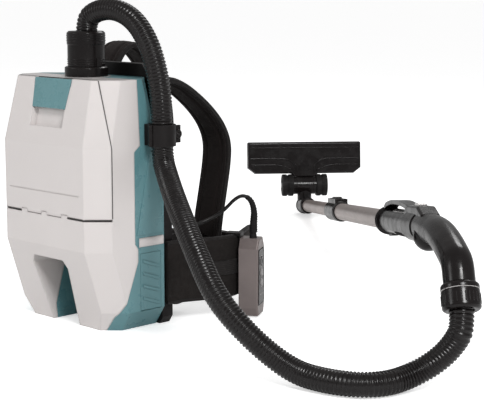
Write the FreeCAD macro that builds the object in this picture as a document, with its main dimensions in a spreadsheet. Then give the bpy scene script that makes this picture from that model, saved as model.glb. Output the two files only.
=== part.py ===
"""A backpack vacuum cleaner: body with harness, suction hose, bent handle, telescopic wand and floor head.

The origin is on the floor, at the centre of the back plate's foot.
+Z is up, the white front faces -Y, and lengths are in millimetres.
"""

import FreeCAD
import Part
import math
import os

import Sketcher

V = FreeCAD.Vector

SIZES = [
    # Body form
    ("unit_height", 404, "floor to the top deck"),
    ("unit_width", 268, "across the side walls"),
    ("unit_front", 154.5, "plate centre to the flat front"),
    ("top_front", 129.5, "plate centre to the front's top edge"),
    ("top_width", 256, "across the top deck"),
    ("foot_front", 112, "plate centre to the front of the feet"),
    ("foot_width", 224, "across the feet"),
    ("cheek_height", 32, "height of the facet above each foot"),
    ("knee_height", 134, "height where the front starts to recede"),
    ("lean_height", 300, "height where the front starts to lean back"),
    ("front_bevel", 32, "bevel beside the flat front"),
    ("rear_bevel", 42, "bevel of the rear corners at the top"),
    ("shell_wall", 3, "moulded wall"),
    ("front_round", 14, "rounding between front and bevels"),
    ("plate_half", 12, "half the back plate's thickness"),
    ("split_upper", 64, "joint of the shells above the step"),
    ("split_lower", 76, "joint of the shells below the step"),
    ("split_step", 295, "height of the step in the joint"),
    ("split_foot", 104, "joint of the shells at the floor"),
    ("arch_height", 113, "height of the arch between the legs"),
    ("arch_half", 46, "half width of the arch under its roof"),
    ("arch_foot", 34, "half width of the arch at the floor"),
    ("shelf_height", 178, "floor of the dust compartment"),
    ("leg_shelf", 27.7, "underside of the battery shelf"),
    # Front cover and latch
    ("cover_bottom", 187, "height of the cover's hinge line"),
    ("cover_seam", 122, "plate centre to the cover's rear edge"),
    ("cover_gap", 0.4, "seam round the cover"),
    ("hinge_barrel", 2.6, "radius of the cover's hinge barrel"),
    ("hinge_pin", 1.2, "radius of the cover's hinge pin"),
    ("hinge_half", 60, "half length of the cover's hinge"),
    ("groove_height", 222, "height of the line across the cover"),
    ("groove_half", 90, "half length of that line"),
    ("latch_start", 58, "latch's lower edge, along the slope"),
    ("latch_end", 106.5, "latch's upper edge, along the slope"),
    ("latch_pivot", 100, "latch's pivot, along the slope"),
    ("latch_low", 42, "half width of the latch's lower edge"),
    ("latch_high", 47, "half width of the latch's upper edge"),
    ("latch_thick", 4.5, "thickness of the latch"),
    ("latch_barrel", 3, "radius of the latch's barrel"),
    ("finger_start", 28, "finger recess's lower edge, along the slope"),
    ("finger_depth", 10, "depth of the finger recess"),
    ("backing_depth", 13, "depth of the latch's backing"),
    # Battery bays
    ("door_low", 34, "battery cover's hinge line"),
    ("door_high", 126, "battery cover's upper edge"),
    ("door_front", 66, "battery cover's front edge"),
    ("door_rear", 22, "battery cover's rear edge"),
    ("door_barrel", 2.2, "radius of the battery cover's barrel"),
    ("door_pin", 1.2, "radius of the battery cover's pins"),
    ("rib_out", 1.6, "height of the grip ribs"),
    ("battery_inner", 54, "battery's inner face"),
    ("battery_outer", 126, "battery's outer face"),
    ("battery_front", 90, "battery's front face"),
    ("battery_rear", 26, "battery's rear face"),
    ("battery_tall", 79, "battery's height"),
    # Air path
    ("inlet_y", -62, "inlet's axis"),
    ("boss_radius", 40, "boss under the inlet"),
    ("flange_radius", 35.5, "inlet flange"),
    ("flange_tall", 16, "inlet flange's height"),
    ("socket_radius", 26.9, "inlet flange's socket"),
    ("spigot_radius", 25, "spigot inside the dust compartment"),
    ("spigot_bore", 22, "bore of the spigot"),
    ("spigot_drop", 24, "spigot below the deck"),
    ("cuff_radius", 30.5, "hose cuff on the inlet"),
    ("cuff_tall", 57, "hose cuff's height"),
    ("cuff_ring", 31.5, "hose cuff's upper ring"),
    ("hose_radius", 17.5, "suction hose, outside"),
    ("hose_bore", 14.8, "suction hose, inside"),
    ("hose_seat", 25, "hose's lower end above the inlet flange"),
    ("hose_valley", 16.1, "suction hose between its ribs"),
    ("hose_ribs", 112, "number of the hose's ribs"),
    ("run_fit", 0.3, "clearance round what turns or lies close"),
    ("slide_fit", 0.08, "clearance of tubes and pins that slide"),
    ("bag_half", 98, "half width of the dust bag"),
    ("bag_front", 114, "dust bag's front"),
    ("bag_rear", 30, "dust bag's rear"),
    ("bag_low", 206, "dust bag's underside"),
    ("collar_thick", 4, "bag collar's thickness"),
    ("filter_half", 60, "half width of the filter frame"),
    ("filter_front", 120, "filter frame's front"),
    ("filter_rear", 40, "filter frame's rear"),
    ("filter_tall", 18, "filter frame's height"),
    ("motor_y", -80, "motor's axis"),
    ("motor_radius", 56, "motor housing"),
    ("motor_tall", 54, "motor housing's height"),
    ("mount_tall", 4, "rubber mount's height"),
    ("fan_radius", 46, "impeller"),
    ("shaft_radius", 4, "motor shaft"),
    # Hose clip
    ("clip_x", 159, "clip's axis beside the body"),
    ("clip_y", -39.5, "clip's axis"),
    ("clip_low", 300, "clip's underside"),
    ("clip_tall", 34, "clip's height"),
    ("clip_wall", 4.4, "clip's wall"),
    # Harness
    ("plate_half_width", 126, "half width of the back plate"),
    ("plate_top_half", 98, "half width of its top edge"),
    ("plate_height", 425, "height of the back plate"),
    ("plate_shoulder", 270, "height where it narrows"),
    ("pad_thick", 18, "back pad's thickness"),
    ("strap_x", 74, "middle of each shoulder strap"),
    ("strap_wide", 64, "width of a shoulder strap"),
    ("strap_thick", 14, "thickness of a shoulder strap"),
    ("cushion_crown", 2.6, "rise of a cushion's face"),
    ("cushion_edge", 2.4, "rounding of a cushion's sides"),
    ("web_wide", 25, "width of the webbing"),
    ("web_thick", 3, "thickness of the webbing"),
    ("belt_low", 34, "hip belt's lower edge"),
    ("belt_tall", 104, "hip belt's height"),
    ("belt_thick", 14, "hip belt's thickness"),
    # Control box
    ("box_x", 182, "middle of the control box"),
    ("box_y", 139, "middle of the control box"),
    ("box_low", 2, "underside of the control box"),
    ("box_tall", 131, "control box's height"),
    ("box_wide", 46, "control box's width"),
    ("box_deep", 33, "control box's depth"),
    ("box_turn", 30, "direction that its panel faces"),
    ("cable_radius", 3, "control cable"),
    ("cable_out_x", 116, "cable's outlet on the back plate"),
    ("cable_out_z", 150, "cable's outlet on the back plate"),
    # Wand
    ("wand_turn", -39.51, "wand's direction on the floor"),
    ("wand_rise", 7.4, "wand's slope"),
    ("wand_x", -478.3, "wand's far end"),
    ("wand_y", 992.2, "wand's far end"),
    ("elbow_radius", 20.9, "elbow at the wand's far end"),
    ("thin_radius", 14.5, "inner tube, outside"),
    ("thin_bore", 13.3, "inner tube, inside"),
    ("thin_start", 12, "inner tube's far end"),
    ("thin_length", 500, "inner tube's length"),
    ("thick_radius", 17, "outer tube, outside"),
    ("thick_bore", 15.6, "outer tube, inside"),
    ("thick_start", 446, "outer tube's far end"),
    ("thick_length", 650, "outer tube's length"),
    ("lock_radius", 21, "tube lock"),
    ("lock_start", 436, "tube lock's far end"),
    ("lock_length", 122, "tube lock's length"),
    ("handle_seat", 62, "outer tube's depth in the handle"),
    ("handle_radius", 22.5, "handle's tube"),
    ("handle_neck", 216, "handle's mouth to its thick middle"),
    ("loop_rise", 33, "top of the handle's finger loop"),
    ("bend_run", 283, "handle's thick middle to its hose end"),
    ("end_drop", 106, "hose end of the handle, below the wand"),
    ("end_lean", 70, "slope of the handle's hose end"),
    ("end_ring", 27, "swivel cuff at the hose's end"),
    ("end_ring_tall", 38, "swivel cuff's length"),
    # Floor head
    ("barrel_rise", 49, "barrel's axis above the tube's axis"),
    ("barrel_radius", 22, "barrel of the elbow"),
    ("barrel_half", 20, "half length of the barrel"),
    ("wheel_radius", 26, "head wheels"),
    ("wheel_wide", 26, "width of a head wheel"),
    ("axle_radius", 4, "head axle"),
    ("head_half", 138, "half width of the floor head"),
    ("head_low", 28, "head's rear edge from the barrel's axis"),
    ("head_tall", 77, "head's length"),
    ("head_thick", 30, "head's height over the sole plate"),
    ("sole_thick", 4, "sole plate"),
]


class Size:
    """A size of the sheet, or a sum of sizes, as its value and as the expression that binds it."""

    def __init__(self, value, text):
        self.value = value
        self.text = text

    def _with(self, other, sign, value, swap=False):
        right = other.text if isinstance(other, Size) else repr(float(other))
        left = self.text
        if swap:
            left, right = right, left
        return Size(value, "(" + left + " " + sign + " " + right + ")")

    def __add__(self, other):
        return self._with(other, "+", self.value + number(other))

    def __radd__(self, other):
        return self._with(other, "+", number(other) + self.value, True)

    def __sub__(self, other):
        return self._with(other, "-", self.value - number(other))

    def __rsub__(self, other):
        return self._with(other, "-", number(other) - self.value, True)

    def __mul__(self, other):
        return self._with(other, "*", self.value * number(other))

    def __rmul__(self, other):
        return self._with(other, "*", number(other) * self.value, True)

    def __truediv__(self, other):
        return self._with(other, "/", self.value / number(other))

    def __neg__(self):
        return Size(-self.value, "(0 - " + self.text + ")")


def number(size):
    """The plain value of a size or a number."""
    return size.value if isinstance(size, Size) else float(size)


def text(size):
    """The expression of a size or a number."""
    return size.text if isinstance(size, Size) else repr(float(size))


class Sheet:
    """The spreadsheet with the driving dimensions, one attribute for each alias."""

    def __init__(self, document, rows):
        self.sheet = document.addObject("Spreadsheet::Sheet", "Sizes")
        for row, (alias, value, meaning) in enumerate(rows, start=1):
            cell = "B" + str(row)
            self.sheet.set("A" + str(row), meaning)
            self.sheet.set(cell, str(value))
            self.sheet.setAlias(cell, alias)
            setattr(self, alias, Size(float(value), "Sizes." + alias))


doc = FreeCAD.newDocument("BackpackVacuum")
S = Sheet(doc, SIZES)
doc.recompute()

NODES = {}


def node(name, shape_object):
    """Name a finished sub-part."""
    shape_object.Label = name
    NODES[name] = shape_object
    return shape_object


def bind(target, place, size):
    """Bind a property of an object to a size."""
    target.setExpression(place, text(size))


def set_base(target, x, y, z):
    """Bind the position of an object."""
    bind(target, "Placement.Base.x", x)
    bind(target, "Placement.Base.y", y)
    bind(target, "Placement.Base.z", z)


TURNS = {
    "x": FreeCAD.Rotation(V(0, 1, 0), 90),
    "y": FreeCAD.Rotation(V(1, 0, 0), -90),
    "z": FreeCAD.Rotation(),
}


def block(name, low, high):
    """A box between two opposite corners."""
    made = doc.addObject("Part::Box", name)
    for prop, a, b in zip(("Length", "Width", "Height"), low, high):
        bind(made, prop, b - a if isinstance(b, Size) or isinstance(a, Size) else float(b - a))
    set_base(made, *low)
    return made


def rod(name, radius, start, length, axis="z"):
    """A cylinder that starts at a point and runs along an axis."""
    made = doc.addObject("Part::Cylinder", name)
    bind(made, "Radius", radius)
    bind(made, "Height", length)
    made.Placement = FreeCAD.Placement(V(), TURNS[axis])
    set_base(made, *start)
    return made


def ball(name, radius, centre):
    """A sphere."""
    made = doc.addObject("Part::Sphere", name)
    bind(made, "Radius", radius)
    set_base(made, *centre)
    return made


def fuse(name, *pieces):
    """The union of several pieces."""
    made = doc.addObject("Part::MultiFuse", name)
    made.Shapes = list(pieces)
    made.Refine = True
    return made


def cut(name, base, *tools):
    """A piece with several others taken out of it."""
    made = doc.addObject("Part::Cut", name)
    made.Base = base
    made.Tool = tools[0] if len(tools) == 1 else fuse(name + "_tools", *tools)
    made.Refine = True
    return made


def common(name, first, second):
    """What two pieces share."""
    made = doc.addObject("Part::MultiCommon", name)
    made.Shapes = [first, second]
    made.Refine = True
    return made


def mirrored(name, source):
    """The same piece on the other side of the body's middle plane."""
    made = doc.addObject("Part::Mirroring", name)
    made.Source = source
    made.Normal = V(1, 0, 0)
    return made


def plane_of(body, role):
    """One of a body's own origin planes."""
    return [part for part in body.Origin.OriginFeatures if part.Role == role][0]


def outline(body, name, role, points, offset=None):
    """A closed sketch through points whose coordinates are bound to the sheet."""
    drawn = body.newObject("Sketcher::SketchObject", name)
    drawn.AttachmentSupport = [(plane_of(body, role), "")]
    drawn.MapMode = "FlatFace"
    if offset is not None:
        bind(drawn, "AttachmentOffset.Base.z", offset)
    count = len(points)
    flat = [V(number(a), number(b), 0) for a, b in points]
    for i in range(count):
        drawn.addGeometry(Part.LineSegment(flat[i], flat[(i + 1) % count]))
    for i in range(count):
        drawn.addConstraint(Sketcher.Constraint("Coincident", i, 2, (i + 1) % count, 1))
    for i, pair in enumerate(points):
        for kind, size in zip(("DistanceX", "DistanceY"), pair):
            index = drawn.addConstraint(Sketcher.Constraint(kind, -1, 1, i, 1, number(size)))
            drawn.setExpression("Constraints[" + str(index) + "]", text(size))
    return drawn


def prism(name, role, points, start, length):
    """A padded outline: start and length run along +Z, +Y or +X, across the sketch's plane."""
    body = doc.addObject("PartDesign::Body", name)
    offset = -(start + length) if role == "XZ_Plane" else start
    drawn = outline(body, name + "_outline", role, points, offset)
    pad = body.newObject("PartDesign::Pad", name + "_pad")
    pad.Profile = drawn
    bind(pad, "Length", length)
    return body


def turned(name, role, points, axis):
    """A profile turned about its sketch's H_Axis or V_Axis."""
    body = doc.addObject("PartDesign::Body", name)
    drawn = outline(body, name + "_profile", role, points)
    made = body.newObject("PartDesign::Revolution", name + "_turn")
    made.Profile = drawn
    made.ReferenceAxis = (drawn, [axis])
    made.Angle = 360
    return body


def soften(body, radius, chosen):
    """Round the edges of a body that a test picks."""
    doc.recompute()
    last = body.Tip
    names = ["Edge" + str(i + 1) for i, edge in enumerate(last.Shape.Edges) if chosen(edge)]
    made = body.newObject("PartDesign::Fillet", body.Name + "_round")
    made.Base = (last, names)
    bind(made, "Radius", radius)
    return body


def upright(edge):
    """Whether an edge runs mostly along Z."""
    if len(edge.Vertexes) < 2:
        return False
    way = edge.Vertexes[1].Point - edge.Vertexes[0].Point
    return way.Length > 1 and abs(way.z) > 0.8 * way.Length


def made_shape(name, shape):
    """An object with a shape of its own."""
    made = doc.addObject("Part::Feature", name)
    made.Shape = shape
    return made


def route(name, points):
    """Straight runs joined by tangent arcs, each as large as its two runs allow."""
    edges = []
    radii = []
    last = points[0]
    for before, here, after in zip(points, points[1:], points[2:]):
        into = (here - before).normalize()
        out = (after - here).normalize()
        reach = 0.45 * min((here - before).Length, (after - here).Length)
        half = into.getAngle(out) / 2
        radius = reach / math.tan(half)
        radii.append(round(radius, 1))
        first = here - into * reach
        second = here + out * reach
        inward = (out - into).normalize()
        centre = here + inward * (radius / math.cos(half))
        middle = centre - inward * radius
        edges.append(Part.LineSegment(last, first).toShape())
        edges.append(Part.Arc(first, middle, second).toShape())
        last = second
    edges.append(Part.LineSegment(last, points[-1]).toShape())
    wire = Part.Wire(edges)
    print(name, "length", round(wire.Length, 1), "radii", radii)
    return wire


def ring_at(point, way, radius):
    """A circle across a path."""
    return Part.Wire(Part.Circle(point, way, radius).toShape())


def tube_along(name, points, radius, bore=0.0):
    """A round tube along a route."""
    wire = route(name, points)
    way = points[1] - points[0]
    solid = wire.makePipeShell([ring_at(points[0], way, radius)], True, False)
    wanted = math.pi * radius * radius * wire.Length
    if bore:
        inner = wire.makePipeShell([ring_at(points[0], way, bore)], True, False)
        solid = solid.cut(inner)
        wanted -= math.pi * bore * bore * wire.Length
    print(name, "volume", round(solid.Volume), "section times length", round(wanted))
    return solid


def flat_profile(centre, across, side, wide, thick):
    """The square section of a band."""
    corners = []
    for a, b in ((-1, -1), (1, -1), (1, 1), (-1, 1)):
        corners.append(centre + across * (a * wide / 2) + side * (b * thick / 2))
    return Part.makePolygon(corners + [corners[0]])


def cushion_profile(centre, across, side, wide, thick):
    """The section of a padded band: crowned faces between drawn-in, rounded sides."""
    edge = number(S.cushion_edge)
    rise = number(S.cushion_crown)
    a, b = wide / 2 - edge, thick / 2 - rise
    ring = [(-a, -b), (0, -thick / 2), (a, -b), (wide / 2, 0), (a, b), (0, thick / 2), (-a, b), (-wide / 2, 0)]
    at = [centre + across * u + side * v for u, v in ring]
    arcs = [Part.Arc(at[i], at[i + 1], at[(i + 2) % 8]).toShape() for i in (0, 2, 4, 6)]
    return Part.Wire(arcs)


def band_along(name, points, across, wide, thick, profile=flat_profile):
    """A band along a plane route: across is the direction of its width."""
    wire = route(name, points)
    way = (points[1] - points[0]).normalize()
    side = across.cross(way).normalize()
    shell = Part.BRepOffsetAPI.MakePipeShell(wire)
    shell.setBiNormalMode(across)
    shell.add(profile(points[0], across, side, wide, thick))
    shell.build()
    shell.makeSolid()
    return shell.shape()


def stations(wire, lengths):
    """Place and direction at each of some lengths along a route."""
    spans = []
    total = 0.0
    for edge in wire.Edges:
        spans.append((total, edge))
        total += edge.Length
    found = []
    index = 0
    for length in lengths:
        while index < len(spans) - 1 and length > spans[index + 1][0]:
            index += 1
        start, edge = spans[index]
        at = edge.getParameterByLength(min(max(length - start, 0.0), edge.Length))
        found.append((edge.valueAt(at), edge.tangentAt(at)))
    return found


def rings_along(wire, rows):
    """Circles across a route: rows hold each circle's length along it and its radius."""
    rings = []
    side = None
    for (length, radius), (point, way) in zip(rows, stations(wire, [row[0] for row in rows])):
        if side is None:
            side = V(1, 0, 0) if abs(way.x) < 0.7 else V(0, 1, 0)
        side = (side - way * side.dot(way)).normalize()
        ring = Part.makeCircle(radius)
        ring.Placement = FreeCAD.Placement(point, FreeCAD.Rotation(side, way.cross(side), way, "ZXY"))
        rings.append(Part.Wire(ring))
    return rings


def hollow_between(outer, inner):
    """The solid between two ruled walls, closed by a flat ring at each end."""
    walls = [Part.makeLoft(rings, False, True) for rings in (outer, inner)]
    ends = [Part.makeFace([outer[i], inner[i]], "Part::FaceMakerBullseye") for i in (0, -1)]
    skin = Part.makeCompound(walls[0].Faces + walls[1].Faces + ends)
    skin.sewShape()
    solid = Part.Solid(skin.Shells[0])
    if solid.Volume < 0:
        solid.reverse()
    return solid


def ribbed_along(name, points, crest, valley, bore, count):
    """A ribbed hose along a route: each rib has a flat crest and two flanks, and both ends stay plain."""
    wire = route(name, points)
    plain = crest * 2
    pitch = (wire.Length - 2 * plain) / count
    rows = [(0.0, crest)]
    for index in range(count):
        start = plain + index * pitch
        rows += [(start + 0.05 * pitch, crest), (start + 0.25 * pitch, valley),
                 (start + 0.55 * pitch, valley), (start + 0.75 * pitch, crest)]
    rows.append((wire.Length, crest))
    bends = count // 2
    bore_rows = [(wire.Length * step / bends, bore) for step in range(bends + 1)]
    solid = hollow_between(rings_along(wire, rows), rings_along(wire, bore_rows))
    print(name, "volume", round(solid.Volume), "ribs", count, "pitch", round(pitch, 2))
    return solid


# Body form


def section(height, half, front, bevel, rear, back):
    """One level of the body's outer form, seen from above."""
    points = [
        (half - rear, back),
        (half, back - rear),
        (half, bevel - front),
        (half - bevel, -front),
        (bevel - half, -front),
        (-half, bevel - front),
        (-half, back - rear),
        (rear - half, back),
    ]
    return height, points


def body_form(name, inset):
    """The body's closed form, drawn in by a wall."""
    back = -S.plate_half - inset
    knee = S.unit_front - inset
    rows = [
        section(0 + inset, S.foot_width / 2 - inset, S.foot_front - inset, S.front_bevel * 0.8, 3, back),
        section(S.cheek_height + inset * 0, S.unit_width / 2 - inset,
                S.foot_front + (S.unit_front - S.foot_front) * (S.cheek_height / S.knee_height) - inset,
                S.front_bevel, 3, back),
        section(S.knee_height + inset * 0, S.unit_width / 2 - inset, knee, S.front_bevel, 3, back),
        section(S.lean_height * 0.73, S.unit_width / 2 - inset, knee, S.front_bevel, 3, back),
        section(S.lean_height + inset * 0, S.unit_width / 2 - inset, knee, S.front_bevel,
                S.rear_bevel * 0.43, back),
        section(S.unit_height - inset, S.top_width / 2 - inset, S.top_front - inset, S.front_bevel,
                S.rear_bevel, back),
    ]
    body = doc.addObject("PartDesign::Body", name)
    levels = []
    for index, (height, points) in enumerate(rows):
        levels.append(outline(body, name + "_level" + str(index), "XY_Plane", points, height))
    loft = body.newObject("PartDesign::AdditiveLoft", name + "_loft")
    loft.Profile = levels[0]
    loft.Sections = levels[1:]
    loft.Ruled = True
    return body


def arch_form(name, grow):
    """The way between the two legs."""
    half = S.arch_half + grow
    foot = S.arch_foot + grow
    roof = S.arch_height + grow
    points = [
        (-foot, -2), (foot, -2), (half, roof - 13), (half - 8, roof), (8 - half, roof), (-half, roof - 13),
    ]
    return prism(name, "XZ_Plane", points, -S.unit_front - 10, S.unit_front + 20)


def rear_zone(name):
    """All that lies behind the joint of the two shells."""
    points = [
        (-S.split_upper, S.unit_height + 5),
        (-S.split_upper, S.split_step + 5),
        (-S.split_lower, S.split_step - 5),
        (-S.split_lower, S.knee_height + 8),
        (6 - S.split_lower, S.knee_height),
        (6 - S.split_lower, S.arch_height),
        (-S.split_foot, 24),
        (-S.split_foot, -2),
        (20, -2),
        (20, S.unit_height + 5),
    ]
    return prism(name, "YZ_Plane", points, -S.unit_width, 2 * S.unit_width)


def make_shells():
    """Front shell, rear housing and the blank of the front cover."""
    wall = S.shell_wall
    half = S.unit_width / 2
    inner = cut("hollow", body_form("hollow_form", wall), arch_form("arch_outer", wall))
    outer = cut("solid_form", body_form("outer_form", wall * 0), arch_form("arch_inner", wall * 0))
    skin = cut("skin", outer, inner)
    shelf = common("shelf", body_form("shelf_form", wall),
                   block("shelf_slab", (-half, -S.unit_front, S.shelf_height),
                         (half, 0, S.shelf_height + wall)))
    leg_shelf = common("battery_shelf", cut("leg_form", body_form("leg_shelf_form", wall),
                                            arch_form("arch_shelf", wall)),
                       block("battery_slab", (-half, -S.unit_front, S.leg_shelf),
                             (half, 0, S.leg_shelf + wall)))
    air_hole = rod("air_hole", S.filter_half * 0.6, (0, S.motor_y, S.shelf_height - 5), 15)
    whole = cut("both_shells", fuse("skin_and_shelves", skin, shelf, leg_shelf), air_hole)

    boss_low = S.unit_height - 12
    boss = rod("boss", S.boss_radius, (0, S.inlet_y, boss_low), 12)
    boss_bore = rod("boss_bore", S.spigot_radius + S.run_fit, (0, S.inlet_y, boss_low - 10), 40)
    boss_room = rod("boss_room", S.boss_radius + S.run_fit, (0, S.inlet_y, boss_low - 5), 30)

    front = cut("front_half", whole, rear_zone("rear_zone_a"))
    rear = common("rear_half", whole, rear_zone("rear_zone_b"))

    room = cover_zone("cover_room", S.cover_gap)
    front_body = cut("front_open", fuse("front_boss", front, boss), boss_bore, room)
    cover = common("cover_blank", front, cover_zone("cover_zone", 0 * S.cover_gap))
    return front_body, cut("rear_open", rear, boss_room), cover


def cover_zone(name, gap):
    """The room of the front cover, with or without its seam."""
    axis_z = S.cover_bottom
    low = axis_z - (S.hinge_barrel + gap) * (gap / S.cover_gap)
    points = [
        (-S.unit_front - 20, low),
        (-S.cover_seam + gap, low),
        (-S.cover_seam + gap, S.unit_height + 5),
        (-S.unit_front - 20, S.unit_height + 5),
    ]
    return prism(name, "YZ_Plane", points, -S.unit_width, 2 * S.unit_width)


SLOPE_TURN = "-atan((Sizes.unit_front - Sizes.top_front) / (Sizes.unit_height - Sizes.lean_height))"


def lay_on_slope(made):
    """Set a piece on the leaning part of the front: its local Z runs up the slope."""
    made.Placement = FreeCAD.Placement(V(), FreeCAD.Rotation(V(1, 0, 0), -10))
    made.setExpression("Placement.Rotation.Angle", SLOPE_TURN)
    set_base(made, 0, -S.unit_front, S.lean_height)
    return made


def make_cover(blank):
    """Front cover: hinge barrel, backing, latch recess, finger recess and the line across it."""
    gap = S.cover_gap
    axis_y = S.hinge_barrel - S.unit_front
    axis = (axis_y, S.cover_bottom)
    thick = S.latch_thick
    wide, low, high = S.latch_high + 6, S.finger_start - 6, S.latch_pivot + 3
    backing = prism("latch_backing", "XZ_Plane", [(-wide, low), (wide, low), (wide, high), (-wide, high)],
                    0.5, S.backing_depth - 0.5)
    low, high = S.latch_start - gap, S.latch_end + 6
    recess = prism("latch_recess", "XZ_Plane", [
        (-S.latch_low - gap, low), (S.latch_low + gap, low), (S.latch_high + gap, S.latch_end - 2),
        (S.latch_high + gap, high), (-S.latch_high - gap, high), (-S.latch_high - gap, S.latch_end - 2),
    ], -5, 5 + thick)
    turn_room = block("turn_room", (-S.latch_high - gap, -1, S.latch_pivot - S.latch_barrel * 2),
                      (S.latch_high + gap, S.backing_depth - 3.5, high))
    finger = block("finger_recess", (1 - S.latch_low, -5, S.finger_start),
                   (S.latch_low - 1, S.finger_depth, S.latch_start + 12))
    pin_hole = rod("latch_pin_hole", 1.8 + S.slide_fit,
                   (-S.latch_high - 4, S.latch_barrel + 0.2, S.latch_pivot), 2 * S.latch_high + 8, "x")
    slope_tools = lay_on_slope(fuse("slope_tools", recess, turn_room, finger, pin_hole))
    slope_backing = lay_on_slope(backing)
    barrels = []
    for index, (start, stop) in enumerate(BARREL_SPANS):
        barrels.append(rod("cover_barrel" + str(index), S.hinge_barrel,
                           (S.hinge_half * start + S.run_fit, *axis),
                           S.hinge_half * (stop - start) - 2 * S.run_fit, "x"))
    knuckle_rooms = []
    for index, (start, stop) in enumerate(KNUCKLE_SPANS):
        knuckle_rooms.append(block("knuckle_room" + str(index),
                                   (S.hinge_half * start, -S.unit_front - 2, S.cover_bottom - 5),
                                   (S.hinge_half * stop, axis_y + S.hinge_barrel + 1,
                                    S.cover_bottom + S.hinge_barrel + S.run_fit)))
    pin_bore = rod("cover_pin_bore", S.hinge_pin + S.slide_fit, (-S.hinge_half - 1, *axis),
                   2 * S.hinge_half + 2, "x")
    line = block("cover_line", (-S.groove_half, -S.unit_front - 1, S.groove_height),
                 (S.groove_half, 1 - S.unit_front, S.groove_height + 1.4))
    solid = fuse("cover_solid", blank, slope_backing, *barrels)
    node("front_cover", cut("cover_cut", solid, slope_tools, pin_bore, line, *knuckle_rooms))
    node("cover_hinge_pin", rod("hinge_rod", S.hinge_pin, (-S.hinge_half, *axis), 2 * S.hinge_half, "x"))

    plate = prism("latch_plate", "XZ_Plane", [
        (-S.latch_low, S.latch_start), (S.latch_low, S.latch_start),
        (S.latch_high, S.latch_end), (-S.latch_high, S.latch_end),
    ], -1, thick + 0.6)
    soften(plate, 0.9, lambda edge: abs(edge.CenterOfMass.y + 1) < 0.01)
    roll = rod("latch_roll", S.latch_barrel, (1.5 - S.latch_high, S.latch_barrel + 0.2, S.latch_pivot),
               2 * S.latch_high - 3, "x")
    pins = rod("latch_pins", 1.8, (-S.latch_high - 3, S.latch_barrel + 0.2, S.latch_pivot),
               2 * S.latch_high + 6, "x")
    node("cover_latch", lay_on_slope(fuse("latch_solid", plate, roll, pins)))


KNUCKLE_SPANS = ((-1.0, -0.75), (-0.12, 0.12), (0.75, 1.0))
BARREL_SPANS = ((-0.75, -0.12), (0.12, 0.75))


def make_front(blank):
    """Front shell with its hinge knuckles."""
    axis = (S.hinge_barrel - S.unit_front, S.cover_bottom)
    knuckles = []
    for index, (start, stop) in enumerate(KNUCKLE_SPANS):
        low = S.hinge_half * start
        knuckles.append(rod("knuckle" + str(index), S.hinge_barrel, (low + 0, *axis),
                            S.hinge_half * (stop - start), "x"))
        knuckles.append(block("knuckle_foot" + str(index), (low + 0, -S.unit_front, S.cover_bottom - 5),
                              (S.hinge_half * stop + 0, 2 * S.hinge_barrel - S.unit_front, S.cover_bottom)))
    bore = rod("knuckle_bore", S.hinge_pin + S.slide_fit, (-S.hinge_half - 1, *axis), 2 * S.hinge_half + 2, "x")
    node("front_shell", cut("front_cut", fuse("front_solid", blank, *knuckles), bore))


def door_side(name, sign):
    """Pieces of one battery cover: the opening, the lugs, the cover and its rear pins."""
    wall = S.shell_wall
    side = S.unit_width / 2
    axis_x = side - S.door_barrel
    gap = S.cover_gap
    low = S.door_low - S.door_barrel - gap
    opening = block(name + "_opening", (side - wall - 2.5, -S.door_front, low),
                    (side + 5, -S.door_rear, S.door_high))
    lug_low = S.leg_shelf + wall
    lugs = fuse(name + "_lugs",
                block(name + "_lug_front", (side - wall - 4, -S.door_front - 4, lug_low),
                      (side - 1, -S.door_front, S.door_low + 4)),
                block(name + "_lug_rear", (side - wall - 4, -S.door_rear, lug_low),
                      (side - 1, 4 - S.door_rear, S.door_low + 4)))
    bore = rod(name + "_bore", S.door_pin + S.slide_fit, (axis_x, -S.door_front - 3, S.door_low),
               S.door_front - S.door_rear + 6, "y")
    leaf = block(name + "_leaf", (side - wall, gap - S.door_front, S.door_low),
                 (side, -S.door_rear - gap, S.door_high - gap))
    barrel = rod(name + "_barrel", S.door_barrel, (axis_x, gap - S.door_front, S.door_low),
                 S.door_front - S.door_rear - 2 * gap, "y")
    pins = rod(name + "_pins", S.door_pin, (axis_x, -S.door_front - 2.6, S.door_low),
               S.door_front - S.door_rear + 5.2, "y")
    ribs = []
    for index in range(4):
        top = S.door_high - 10 - index * (S.door_high - S.door_low) * 0.22
        points = [
            (5 - S.door_front, top), (5 - S.door_front, top - 5),
            (-S.door_rear - 5, top - 17), (-S.door_rear - 5, top - 12),
        ]
        ribs.append(prism(name + "_rib" + str(index), "YZ_Plane", points, side - 1, 1 + S.rib_out))
    cover = fuse(name + "_solid", leaf, barrel, pins, *ribs)
    pieces = [opening, lugs, bore, cover]
    if sign < 0:
        pieces = [mirrored(name + "_mirror" + str(i), piece) for i, piece in enumerate(pieces)]
    return pieces


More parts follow.
